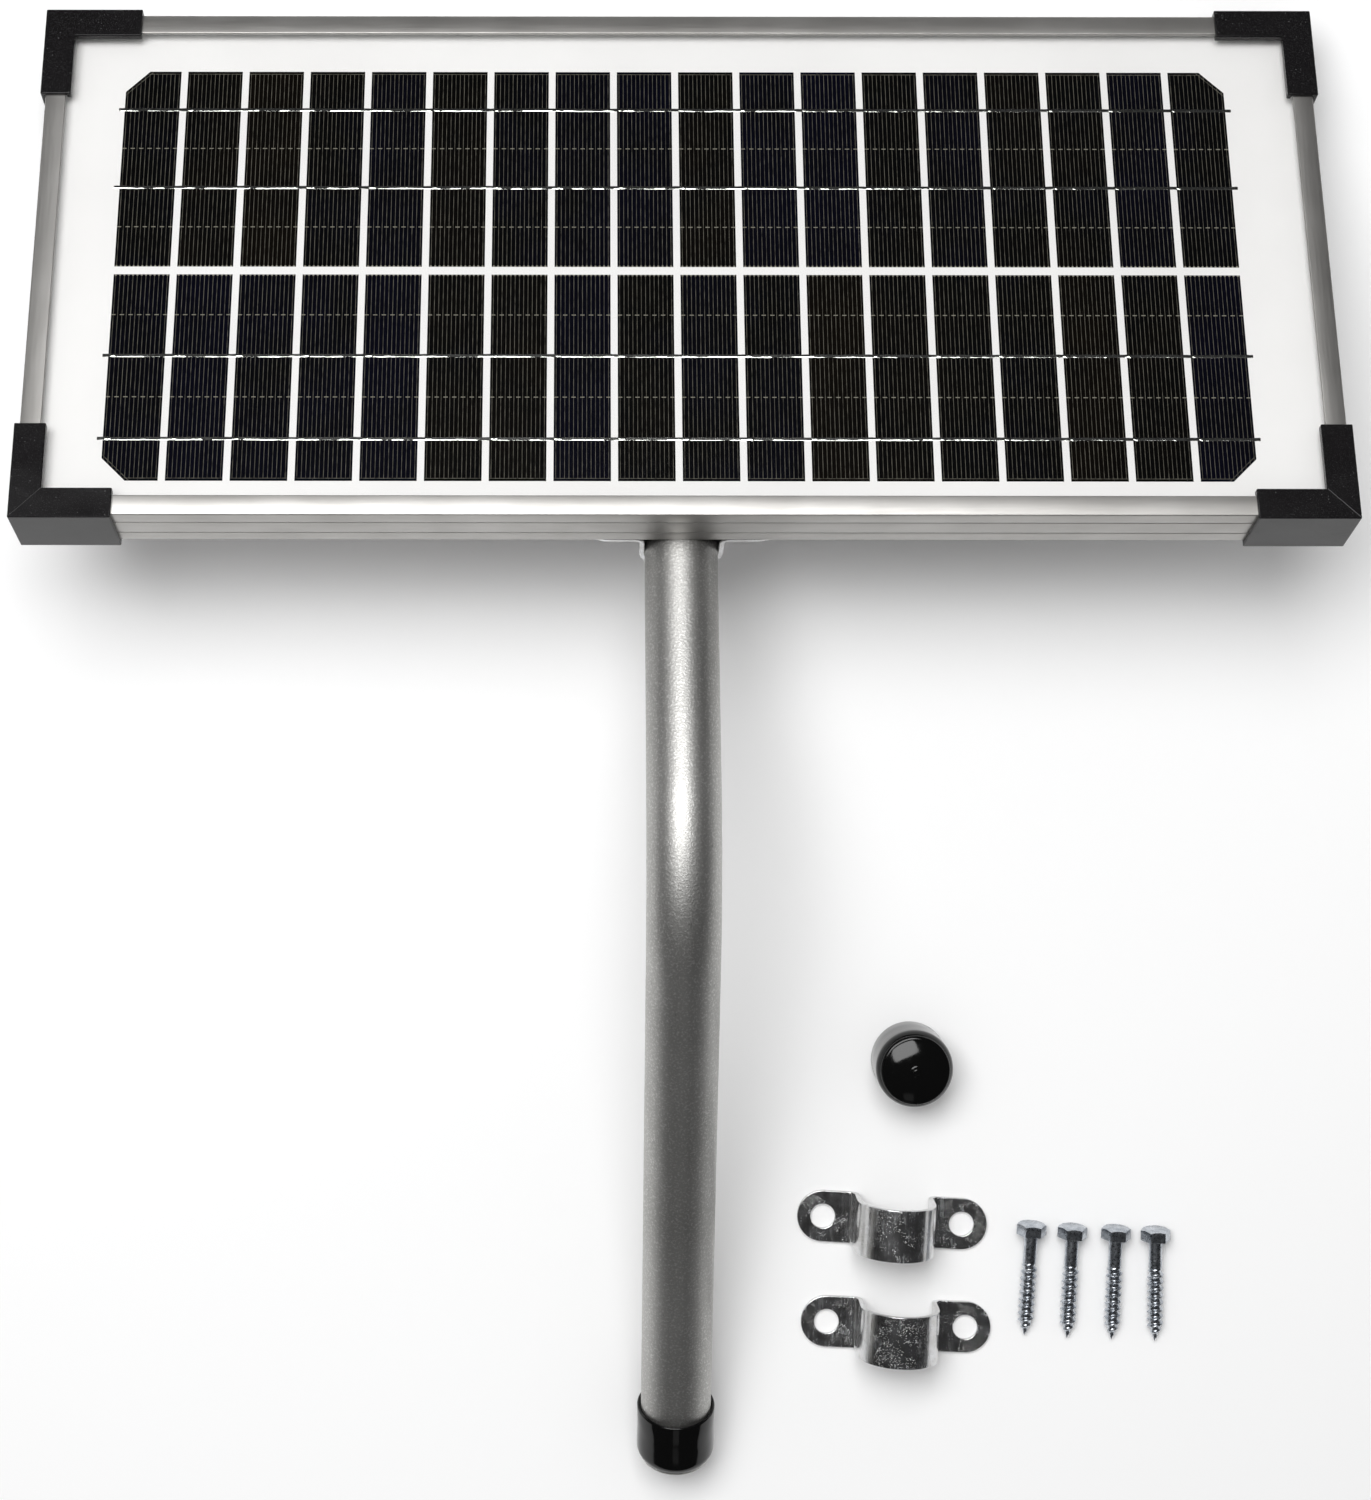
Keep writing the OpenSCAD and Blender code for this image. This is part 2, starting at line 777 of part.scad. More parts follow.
// Upper stretch, bend and lower stretch; the straight ends reach a little into the bend
module pole() {
    swell = 0.06;                  // a bent tube is a little fuller in its bend
    into = 0.5;
    color("#c9cacc") on_table() {
        translate([0, bend_run - bend_drop - into, axis_z]) rotate([-90, 0, 0])
            linear_extrude(pole_top + bend_drop - bend_run + into) pole_section(0);
        translate([0, bend_run - bend_drop, axis_z - bend_r]) rotate([180, -90, 0])
            rotate_extrude(angle = bend_angle) translate([bend_r, 0]) pole_section(swell);
        down_pole() translate([0, 0, bend_run - into])
            linear_extrude(lower_reach - cap_end_t - fit - bend_run + into) pole_section(0);
    }
}

// Soft cap standing on its open rim, its closed end up, with a small moulding nub
module tube_cap() {
    difference() {
        rotate_extrude() {
            square([cap_r, cap_len - cap_round]);
            square([cap_across, cap_len]);
            translate([cap_across, cap_len - cap_round]) intersection() {
                circle(cap_round);
                square(cap_round);
            }
        }
        translate([0, 0, -cut]) cylinder(r = pole_r + fit, h = cap_len - cap_end_t + cut);
    }
}

module end_cap() {
    color("#111112") on_table() down_pole() translate([0, 0, lower_reach - cap_len]) tube_cap();
}

module spare_cap() {
    color("#111112") translate([spare_cap_place[0], spare_cap_place[1], 0]) {
        tube_cap();
        translate([0, 0, cap_len]) cylinder(r1 = nub_r, r2 = nub_r / 2, h = nub_h);
    }
}

module post_strap(place) {
    color("#d4d6d8") translate([place[0], place[1], 0]) rotate([0, 0, place[2]]) pipe_strap();
}

module post_strap_1() { post_strap(post_strap_places[0]); }
module post_strap_2() { post_strap(post_strap_places[1]); }

// Section of the threaded length: one tooth after another, then the point
module thread_section() {
    point_len = 6;                 // each tooth's points: radius, and place as a share of the pitch
    tooth = [[root_r, 0.1], [screw_r, 0.42], [screw_r, 0.55], [root_r, 0.9]];
    turns = floor((screw_len - shank_len - point_len) / thread_pitch);
    start = head_h + shank_len;
    polygon(concat(
        [[0, start - 0.5], [root_r, start - 0.5]],
        [for (i = [0:turns - 1], p = tooth) [p[0], start + (i + p[1]) * thread_pitch]],
        [[root_r, head_h + screw_len - point_len], [0, head_h + screw_len]]
    ));
}

// Hex head at Z = 0, point towards +Z
module lag_screw() {
    hexagon(head_af, head_h);
    translate([0, 0, head_h - 0.5]) cylinder(r = shank_r, h = shank_len + 0.5);
    rotate_extrude() thread_section();
}

// A screw lying on a flat of its head and on its thread, its point towards -Y
module lying_screw(place) {
    color("#b8bcc4") translate([place[0], place[1], 0]) rotate([0, 0, place[2]])
        rotate([screw_lean, 0, 0])
            translate([0, head_h, head_af / 2]) rotate([90, 0, 0]) lag_screw();
}

module lag_screw_1() { lying_screw(screw_places[0]); }
module lag_screw_2() { lying_screw(screw_places[1]); }
module lag_screw_3() { lying_screw(screw_places[2]); }
module lag_screw_4() { lying_screw(screw_places[3]); }

frame_rail_bottom();
frame_rail_top();
frame_rail_left();
frame_rail_right();
corner_cap_bl();
corner_cap_br();
corner_cap_tl();
corner_cap_tr();
corner_keys();
edge_seal();
cover_glass();
front_encapsulant();
solar_cells();
cell_ribbons();
string_links();
output_ribbons();
rear_encapsulant();
backsheet();
box_adhesive();
box_base();
box_gasket();
box_lid();
box_hinge_pin();
terminals();
terminal_screws();
bypass_diode();
gland_body();
gland_nut();
gland_seal();
cross_brace();
brace_rivets();
back_strap_lower();
back_strap_upper();
strap_bolts();
strap_washers();
strap_nuts();
pole();
end_cap();
spare_cap();
post_strap_1();
post_strap_2();
lag_screw_1();
lag_screw_2();
lag_screw_3();
lag_screw_4();
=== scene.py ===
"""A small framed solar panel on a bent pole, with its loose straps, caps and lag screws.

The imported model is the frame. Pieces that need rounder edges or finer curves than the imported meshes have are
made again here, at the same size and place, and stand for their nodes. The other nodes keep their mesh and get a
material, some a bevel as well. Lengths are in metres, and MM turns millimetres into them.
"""
import json
import math
import random

import bmesh
import bpy
from mathutils import Matrix, Vector


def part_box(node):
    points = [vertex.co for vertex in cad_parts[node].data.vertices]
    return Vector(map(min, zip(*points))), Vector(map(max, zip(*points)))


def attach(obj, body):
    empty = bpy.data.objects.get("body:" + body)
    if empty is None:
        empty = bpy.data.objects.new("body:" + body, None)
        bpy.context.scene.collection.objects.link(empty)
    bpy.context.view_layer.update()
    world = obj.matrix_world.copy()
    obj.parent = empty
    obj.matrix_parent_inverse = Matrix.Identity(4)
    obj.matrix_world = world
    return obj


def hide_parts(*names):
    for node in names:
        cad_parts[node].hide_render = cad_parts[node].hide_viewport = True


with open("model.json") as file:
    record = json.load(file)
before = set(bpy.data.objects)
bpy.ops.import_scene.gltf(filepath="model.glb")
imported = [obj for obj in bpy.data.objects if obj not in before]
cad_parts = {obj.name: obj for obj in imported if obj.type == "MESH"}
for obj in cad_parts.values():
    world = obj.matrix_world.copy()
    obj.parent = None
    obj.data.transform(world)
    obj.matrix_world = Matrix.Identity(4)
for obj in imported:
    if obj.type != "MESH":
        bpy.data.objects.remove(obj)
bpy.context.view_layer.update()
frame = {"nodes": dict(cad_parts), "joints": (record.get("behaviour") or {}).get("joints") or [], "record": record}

MM = 0.001
TAU = 2 * math.pi
rng = random.Random(7)

# ---- The panel's own frame: X along it, Y up it, Z out of its glass ----

JOINTS = {joint["name"]: joint for joint in frame["joints"]}
MOUNTS = {mount["name"]: mount for mount in frame["record"]["mounts"]}
UP = Vector(JOINTS["pole_swivel"]["axis"]).normalized()
DOWN_POLE = Vector(JOINTS["cap_pull"]["axis"]).normalized()
ACROSS = Vector((1, 0, 0))
OUT = ACROSS.cross(UP)
TURN = Matrix((ACROSS, UP, OUT))
RAILS = ["frame_rail_bottom", "frame_rail_top", "frame_rail_left", "frame_rail_right"]
CORNERS = ["corner_cap_bl", "corner_cap_br", "corner_cap_tl", "corner_cap_tr"]


def turned_box(*nodes):
    """Lowest and highest corner of some nodes along the panel's own directions."""
    points = [TURN @ v.co for n in nodes for v in frame["nodes"][n].data.vertices]
    return [Vector([pick(p[i] for p in points) for i in range(3)]) for pick in (min, max)]


rails_low, rails_high = turned_box(*RAILS)
ORIGIN = TURN.transposed() @ Vector((0, rails_low.y, rails_low.z))
PANEL = Matrix.Translation(ORIGIN) @ TURN.transposed().to_4x4()


def panel_box(*nodes):
    """Lowest and highest corner of some nodes in the panel's own frame."""
    shift = Vector((0, rails_low.y, rails_low.z))
    return [corner - shift for corner in turned_box(*nodes)]


PANEL_W, PANEL_H, PANEL_D = rails_high - rails_low

# ---- Mesh helpers ----


def piece(name, verts, faces, material, body, nodes, place=None, sharp=None, bevel=None):
    """A finished piece: placed, shaded, riding its body and standing for its nodes."""
    mesh = bpy.data.meshes.new(name)
    mesh.from_pydata([Vector(v) for v in verts], [], faces)
    if place is not None:
        mesh.transform(place)
    mesh.validate()
    face_outward(mesh)
    mesh.materials.append(material)
    mesh.polygons.foreach_set("use_smooth", [True] * len(mesh.polygons))
    obj = bpy.data.objects.new(name, mesh)
    bpy.context.scene.collection.objects.link(obj)
    if sharp is not None:
        mesh.set_sharp_from_angle(angle=math.radians(sharp))
    if bevel is not None:
        soften(obj, *bevel)
    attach(obj, body)
    if nodes:
        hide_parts(*nodes)
    return obj


def face_outward(mesh):
    bm = bmesh.new()
    bm.from_mesh(mesh)
    bmesh.ops.recalc_face_normals(bm, faces=bm.faces)
    bm.to_mesh(mesh)
    bm.free()


def soften(obj, width, angle=40, segments=3):
    """Rounds the sharp edges and keeps the flats flat."""
    bevel = obj.modifiers.new("Soft edges", "BEVEL")
    bevel.width = width
    bevel.segments = segments
    bevel.limit_method = "ANGLE"
    bevel.angle_limit = math.radians(angle)
    bevel.miter_outer = "MITER_ARC"
    weighted = obj.modifiers.new("Flat faces", "WEIGHTED_NORMAL")
    weighted.weight = 80
    weighted.keep_sharp = True


def weld_corners(obj):
    weld = obj.modifiers.new("Weld", "WELD")
    weld.merge_threshold = 0.002 * MM


def plain_node(name, material):
    """A CAD node keeps its mesh and gets a material."""
    obj = frame["nodes"][name]
    obj.data.materials.clear()
    obj.data.materials.append(material)
    return obj


def soften_node(name, material, width, angle=30):
    """A CAD node keeps its mesh, and gets welded corners, softer edges and a material."""
    obj = plain_node(name, material)
    weld_corners(obj)
    soften(obj, width, angle, 2)


def joined(parts):
    """Several (verts, faces) as one."""
    verts, faces = [], []
    for part_verts, part_faces in parts:
        faces += [[i + len(verts) for i in face] for face in part_faces]
        verts += [Vector(v) for v in part_verts]
    return verts, faces


def moved(shape, matrix):
    return [matrix @ Vector(v) for v in shape[0]], shape[1]


def loft(rings, closed_ends=True):
    """Skin over rings that all have as many points."""
    count = len(rings[0])
    verts = [Vector(p) for ring in rings for p in ring]
    faces = []
    for r in range(len(rings) - 1):
        for i in range(count):
            j = (i + 1) % count
            faces.append([r * count + i, r * count + j, (r + 1) * count + j, (r + 1) * count + i])
    if closed_ends:
        faces.append(list(range(count))[::-1])
        faces.append([(len(rings) - 1) * count + i for i in range(count)])
    return verts, faces


def turned(profile, sides):
    """A solid of revolution about Z. A profile point is (radius, height); its ends lie on the axis."""
    rings = [
        [(r * math.cos(TAU * k / sides), r * math.sin(TAU * k / sides), z) for k in range(sides)]
        for r, z in profile[1:-1]
    ]
    verts, faces = loft(rings, closed_ends=False)
    for tip, first in ((profile[0], 0), (profile[-1], (len(rings) - 1) * sides)):
        verts.append(Vector((0, 0, tip[1])))
        for k in range(sides):
            faces.append([len(verts) - 1, first + k, first + (k + 1) % sides])
    return verts, faces


def arc(centre, radius, start, end, steps):
    """Points on an arc, its angles in degrees."""
    points = []
    for k in range(steps + 1):
        a = math.radians(start + (end - start) * k / steps)
        points.append((centre[0] + radius * math.cos(a), centre[1] + radius * math.sin(a)))
    return points


def rounded(corners, steps=3):
    """A closed outline of (x, y, radius) corners, each with its rounding."""
    points = []
    for i, (x, y, radius) in enumerate(corners):
        here = Vector((x, y))
        back = Vector(corners[i - 1][:2]) - here
        ahead = Vector(corners[(i + 1) % len(corners)][:2]) - here
        if radius == 0:
            points.append((x, y))
            continue
        half = back.angle(ahead) / 2
        run = radius / math.tan(half)
        centre = here + (back.normalized() + ahead.normalized()).normalized() * radius / math.sin(half)
        start = here + back.normalized() * run - centre
        end = here + ahead.normalized() * run - centre
        for k in range(steps + 1):
            points.append(tuple(centre + start.normalized().slerp(end.normalized(), k / steps) * radius))
    return points


# ---- Materials ----


class Look:
    """A material in the making: its Principled node, and short ways to add to it."""

    def __init__(self, name, colour, rough, metal=0.0, coat=0.0, specular=0.5):
        self.material = bpy.data.materials.new(name)
        self.material.use_nodes = True
        self.tree = self.material.node_tree
        self.shader = self.tree.nodes["Principled BSDF"]
        self.out = self.tree.nodes["Material Output"]
        self.set("Base Color", (*colour, 1))
        self.set("Roughness", rough)
        self.set("Metallic", metal)
        self.set("Coat Weight", coat)
        self.set("Specular IOR Level", specular)

    def set(self, socket, value):
        self.shader.inputs[socket].default_value = value

    def node(self, kind, **values):
        node = self.tree.nodes.new(kind)
        for key, value in values.items():
            if key in node.inputs:
                node.inputs[key].default_value = value
            else:
                setattr(node, key, value)
        return node

    def link(self, source, target):
        self.tree.links.new(source, target)

    def place(self, in_panel=False, stretch=(1, 1, 1)):
        """Coordinates in metres, in the row frame or in the panel's own."""
        coords = self.node("ShaderNodeTexCoord").outputs["Object"]
        if in_panel:
            turn = self.node("ShaderNodeMapping", vector_type="TEXTURE")
            turn.inputs["Location"].default_value = PANEL.to_translation()
            turn.inputs["Rotation"].default_value = PANEL.to_euler()
            self.link(coords, turn.inputs["Vector"])
            coords = turn.outputs["Vector"]
        if stretch != (1, 1, 1):
            scale = self.node("ShaderNodeMapping", vector_type="POINT")
            scale.inputs["Scale"].default_value = stretch
            self.link(coords, scale.inputs["Vector"])
            coords = scale.outputs["Vector"]
        return coords

    def noise(self, coords, size, detail=2.0, rough=0.5):
        """Noise whose features are about size metres across."""
        noise = self.node("ShaderNodeTexNoise", Scale=1 / size, Detail=detail, Roughness=rough)
        self.link(coords, noise.inputs["Vector"])
        return noise.outputs["Fac"]

    def ramp(self, source, *stops):
        """Maps 0..1 through (place, value) stops, a value being a grey or a colour."""
        ramp = self.node("ShaderNodeValToRGB")
        elements = ramp.color_ramp.elements
        while len(elements) < len(stops):
            elements.new(0.5)
        for element, (place, value) in zip(elements, stops):
            element.position = place
            element.color = (value, value, value, 1) if isinstance(value, (int, float)) else (*value, 1)
        self.link(source, ramp.inputs["Fac"])
        return ramp.outputs["Color"]

    def math(self, operation, a, b=0.0, clamp=False):
        node = self.node("ShaderNodeMath", operation=operation, use_clamp=clamp)
        for value, socket in ((a, node.inputs[0]), (b, node.inputs[1])):
            if isinstance(value, (int, float)):
                socket.default_value = value
            else:
                self.link(value, socket)
        return node.outputs[0]

    def mix(self, factor, a, b):
        """Colour a to colour b by factor; each may be a colour or a link."""
        node = self.node("ShaderNodeMix", data_type="RGBA")
        for value, socket in ((factor, node.inputs[0]), (a, node.inputs[6]), (b, node.inputs[7])):
            if isinstance(value, (int, float)):
                socket.default_value = value
            elif isinstance(value, tuple):
                socket.default_value = (*value, 1)
            else:
                self.link(value, socket)
        return node.outputs[2]

    def bump(self, height, depth, strength=1.0):
        """Adds a bump of that depth in metres over any earlier one."""
        bump = self.node("ShaderNodeBump", Distance=depth, Strength=strength)
        earlier = self.shader.inputs["Normal"].links
        if earlier:
            self.link(earlier[0].from_socket, bump.inputs["Normal"])
        self.link(height, bump.inputs["Height"])
        self.link(bump.outputs["Normal"], self.shader.inputs["Normal"])

    def colour(self, source):
        self.link(source, self.shader.inputs["Base Color"])

    def roughness(self, source):
        self.link(source, self.shader.inputs["Roughness"])


def anodised(name, along):
    """Satin clear-anodised aluminium with fine extrusion lines along one of the panel's directions."""
    look = Look(name, (0.55, 0.55, 0.55), 0.4, metal=0.9)
    stretch = tuple(0.02 if i == along else 1 for i in range(3))
    lines = look.noise(look.place(in_panel=True, stretch=stretch), 0.35 * MM, 3)
    cloud = look.noise(look.place(in_panel=True), 25 * MM, 2)
    grain = look.noise(look.place(in_panel=True), 0.5 * MM, 2)
    patches = look.ramp(cloud, (0.3, 0.0), (0.7, 1.0))
    look.colour(look.mix(patches, (0.38, 0.37, 0.355), (0.45, 0.44, 0.425)))
    wear = look.math("ADD", look.math("MULTIPLY", lines, 0.6), look.math("MULTIPLY", grain, 0.4))
    look.roughness(look.ramp(wear, (0.3, 0.34), (0.7, 0.48)))
    look.bump(lines, 0.006 * MM, 0.5)
    look.bump(grain, 0.01 * MM, 0.4)
    return look.material


def moulded(name, shade, rough, dusty):
    """Satin moulded plastic with a fine grain, and specks of dust where it is handled."""
    look = Look(name, shade, rough, specular=0.22)
    coords = look.place()
    grain = look.noise(coords, 0.45 * MM, 3)
    smear = look.noise(look.place(stretch=(0.4, 1, 1)), 9 * MM, 3)
    look.roughness(look.ramp(smear, (0.3, rough - 0.04), (0.7, rough + 0.06)))
    look.bump(grain, 0.02 * MM, 0.6)
    if dusty:
        specks = look.node("ShaderNodeTexVoronoi", Scale=1 / (1.5 * MM), Randomness=1.0)
        look.link(coords, specks.inputs["Vector"])
        near = look.ramp(specks.outputs["Distance"], (0.05, 1.0), (0.16, 0.0))
        some = look.ramp(look.noise(coords, 4 * MM, 2), (0.5, 0.0), (0.62, 1.0))
        fine = look.ramp(look.noise(coords, 0.25 * MM, 2), (0.58, 0.0), (0.75, 1.0))
        dust = look.math("MAXIMUM", look.math("MULTIPLY", near, some), look.math("MULTIPLY", fine, 0.35))
        look.colour(look.mix(look.math("MULTIPLY", dust, 0.25), shade, (0.5, 0.5, 0.5)))
    return look.material


def bright_zinc():
    """Bright zinc plate: a cloudy mirror with rolling lines, handling scratches and pits that glint."""
    look = Look("bright_zinc", (0.62, 0.62, 0.64), 0.2, metal=1.0)
    coords = look.place()
    cloud = look.noise(coords, 5 * MM, 4, 0.6)
    lines = look.noise(look.place(stretch=(1, 0.06, 1)), 0.8 * MM, 3, 0.6)
    scratches = look.noise(look.place(stretch=(0.25, 1, 0.4)), 0.35 * MM, 3, 0.7)
    scratches = look.ramp(scratches, (0.62, 0.0), (0.68, 1.0))
    pits = look.ramp(look.noise(coords, 0.5 * MM, 3, 0.6), (0.6, 0.0), (0.7, 1.0))
    scuffed = look.ramp(look.noise(coords, 6 * MM, 2), (0.45, 0.0), (0.6, 1.0))
    look.colour(look.ramp(cloud, (0.35, (0.56, 0.555, 0.545)), (0.62, (0.72, 0.725, 0.735))))
    gloss = look.math("ADD", look.math("MULTIPLY", cloud, 0.5), look.math("MULTIPLY", lines, 0.5))
    look.roughness(look.ramp(gloss, (0.35, 0.15), (0.65, 0.3)))
    look.bump(lines, 0.03 * MM, 0.7)
    look.bump(look.noise(coords, 3.5 * MM, 2), 0.12 * MM, 0.6)
    look.bump(look.math("MULTIPLY", pits, scuffed), 0.07 * MM, 1.0)
    look.bump(look.math("MULTIPLY", scratches, scuffed), 0.05 * MM, 1.0)
    return look.material


def zinc(name="zinc"):
    """Plain zinc plate on small fasteners, slightly blue."""
    look = Look(name, (0.5, 0.53, 0.57), 0.28, metal=1.0)
    coords = look.place()
    patches = look.noise(coords, 2.5 * MM, 3)
    look.colour(look.ramp(patches, (0.3, (0.36, 0.39, 0.43)), (0.7, (0.62, 0.65, 0.69))))
    look.roughness(look.ramp(look.noise(coords, 0.7 * MM, 2), (0.3, 0.2), (0.7, 0.42)))
    look.bump(look.noise(coords, 0.5 * MM, 2), 0.02 * MM, 0.6)
    return look.material


def mill_aluminium():
    """Bare rolled aluminium with lines along the bar."""
    look = Look("mill_aluminium", (0.6, 0.6, 0.61), 0.38, metal=1.0)
    lines = look.noise(look.place(in_panel=True, stretch=(0.02, 1, 1)), 0.4 * MM, 3)
    look.roughness(look.ramp(lines, (0.3, 0.3), (0.7, 0.48)))
    look.bump(lines, 0.01 * MM, 0.6)
    return look.material


def pole_paint():
    """Satin silver finish with a coarse metal fleck whose specks are lightened as painted glints, and small scuffs
    along the tube.
    """
    look = Look("pole_silver", (0.6, 0.595, 0.58), 0.42, metal=1.0)
    coords = look.place()
    fleck = look.noise(coords, 0.75 * MM, 2, 0.6)
    fine = look.noise(coords, 0.35 * MM, 1)
    cloud = look.noise(coords, 30 * MM, 2)
    scuff = look.noise(look.place(stretch=(1, 0.16, 1)), 1.6 * MM, 4, 0.7)
    scuff = look.ramp(scuff, (0.68, 0.0), (0.72, 1.0))
    tint = look.mix(look.ramp(cloud, (0.3, 0.0), (0.7, 1.0)), (0.43, 0.425, 0.41), (0.5, 0.495, 0.48))
    # The paint's metal flecks are lightened in the base colour: partly their own brighter metal, partly painted
    # glints.
    painted_fleck_glints = look.math("MULTIPLY", look.ramp(fleck, (0.5, 0.0), (0.7, 1.0)), 0.5)
    tint = look.mix(painted_fleck_glints, tint, (0.9, 0.9, 0.88))
    look.colour(look.mix(look.math("MULTIPLY", scuff, 0.5), tint, (0.16, 0.155, 0.15)))
    look.roughness(look.ramp(fine, (0.3, 0.42), (0.7, 0.56)))
    look.bump(fleck, 0.13 * MM, 0.7)
    look.bump(fine, 0.03 * MM, 0.5)
    return look.material


def vinyl():
    """Glossy dipped vinyl with faint ripples."""
    look = Look("cap_vinyl", (0.003, 0.003, 0.003), 0.14, specular=0.32)
    coords = look.place()
    look.roughness(look.ramp(look.noise(coords, 5 * MM, 3), (0.3, 0.05), (0.75, 0.14)))
    look.bump(look.noise(coords, 7 * MM, 2), 0.15 * MM, 0.4)
    look.bump(look.noise(coords, 0.6 * MM, 2), 0.01 * MM, 0.4)
    return look.material


def clear_glass():
    """Low-iron cover glass with a coating that leaves little reflection."""
    material = bpy.data.materials.new("cover_glass_clear")
    material.use_nodes = True
    tree = material.node_tree
    tree.nodes.remove(tree.nodes["Principled BSDF"])
    clear = tree.nodes.new("ShaderNodeBsdfTransparent")
    clear.inputs["Color"].default_value = (0.985, 0.995, 0.99, 1)
    gloss = tree.nodes.new("ShaderNodeBsdfGlossy")
    gloss.inputs["Roughness"].default_value = 0.03
    fresnel = tree.nodes.new("ShaderNodeFresnel")
    fresnel.inputs["IOR"].default_value = 1.16
    mix = tree.nodes.new("ShaderNodeMixShader")
    tree.links.new(fresnel.outputs["Fac"], mix.inputs[0])
    tree.links.new(clear.outputs["BSDF"], mix.inputs[1])
    tree.links.new(gloss.outputs["BSDF"], mix.inputs[2])
    tree.links.new(mix.outputs["Shader"], tree.nodes["Material Output"].inputs["Surface"])
    return material


def white_film():
    """White backing film, faintly warm, with soft lamination ripples."""
    look = Look("backing_film", (0.86, 0.845, 0.845), 0.5)
    coords = look.place(in_panel=True)
    cloud = look.noise(coords, 60 * MM, 2)
    look.colour(look.ramp(cloud, (0.3, (0.76, 0.735, 0.735)), (0.7, (0.8, 0.775, 0.775))))
    look.bump(look.noise(coords, 8 * MM, 2), 0.03 * MM, 0.4)
    return look.material


def rubber():
    look = Look("dark_rubber", (0.02, 0.02, 0.021), 0.65)
    look.bump(look.noise(look.place(), 0.5 * MM, 3), 0.03 * MM, 0.7)
    return look.material


def white_sealant():
    look = Look("white_sealant", (0.75, 0.75, 0.74), 0.55)
    look.bump(look.noise(look.place(), 2 * MM, 2), 0.06 * MM, 0.6)
    return look.material


def brass():
    look = Look("brass", (0.62, 0.46, 0.2), 0.3, metal=1.0)
    coords = look.place()
    tarnish = look.noise(coords, 1.5 * MM, 3)
    look.colour(look.ramp(tarnish, (0.3, (0.5, 0.36, 0.15)), (0.7, (0.68, 0.52, 0.24))))
    look.bump(look.noise(coords, 0.4 * MM, 2), 0.01 * MM, 0.6)
    return look.material


def tinned(name, rough):
    """Tinned copper ribbon with soldered, uneven stretches."""
    look = Look(name, (0.6, 0.6, 0.6), rough, metal=1.0)
    coords = look.place()
    uneven = look.noise(coords, 1.2 * MM, 3)
    look.colour(look.ramp(uneven, (0.3, (0.42, 0.41, 0.4)), (0.7, (0.8, 0.79, 0.76))))
    look.bump(look.noise(coords, 0.7 * MM, 3), 0.01 * MM, 0.8)
    return look.material


# ---- Cells ----

COLUMNS = 18
CELL_W = 19.5 * MM
CELL_H = 78 * MM
PITCH = 21.92 * MM
RIBBON_STEPS = (0.2, 0.6)          # places of a row's ribbons, as shares of its height from the outer edge
LINK_STEPS = (0.4, 0.8)            # places of the dashed links between fingers
FINGERS = 13
SLOPE = 0.2                        # fall of a ribbon's lower side
cells_low, cells_high = panel_box("solar_cells")
ARRAY_X = (cells_low.x + cells_high.x) / 2
ARRAY_Y = (cells_low.y + cells_high.y) / 2
HALF_ARRAY = (cells_high.y - cells_low.y) / 2
CHAMFER = 8.3 * MM


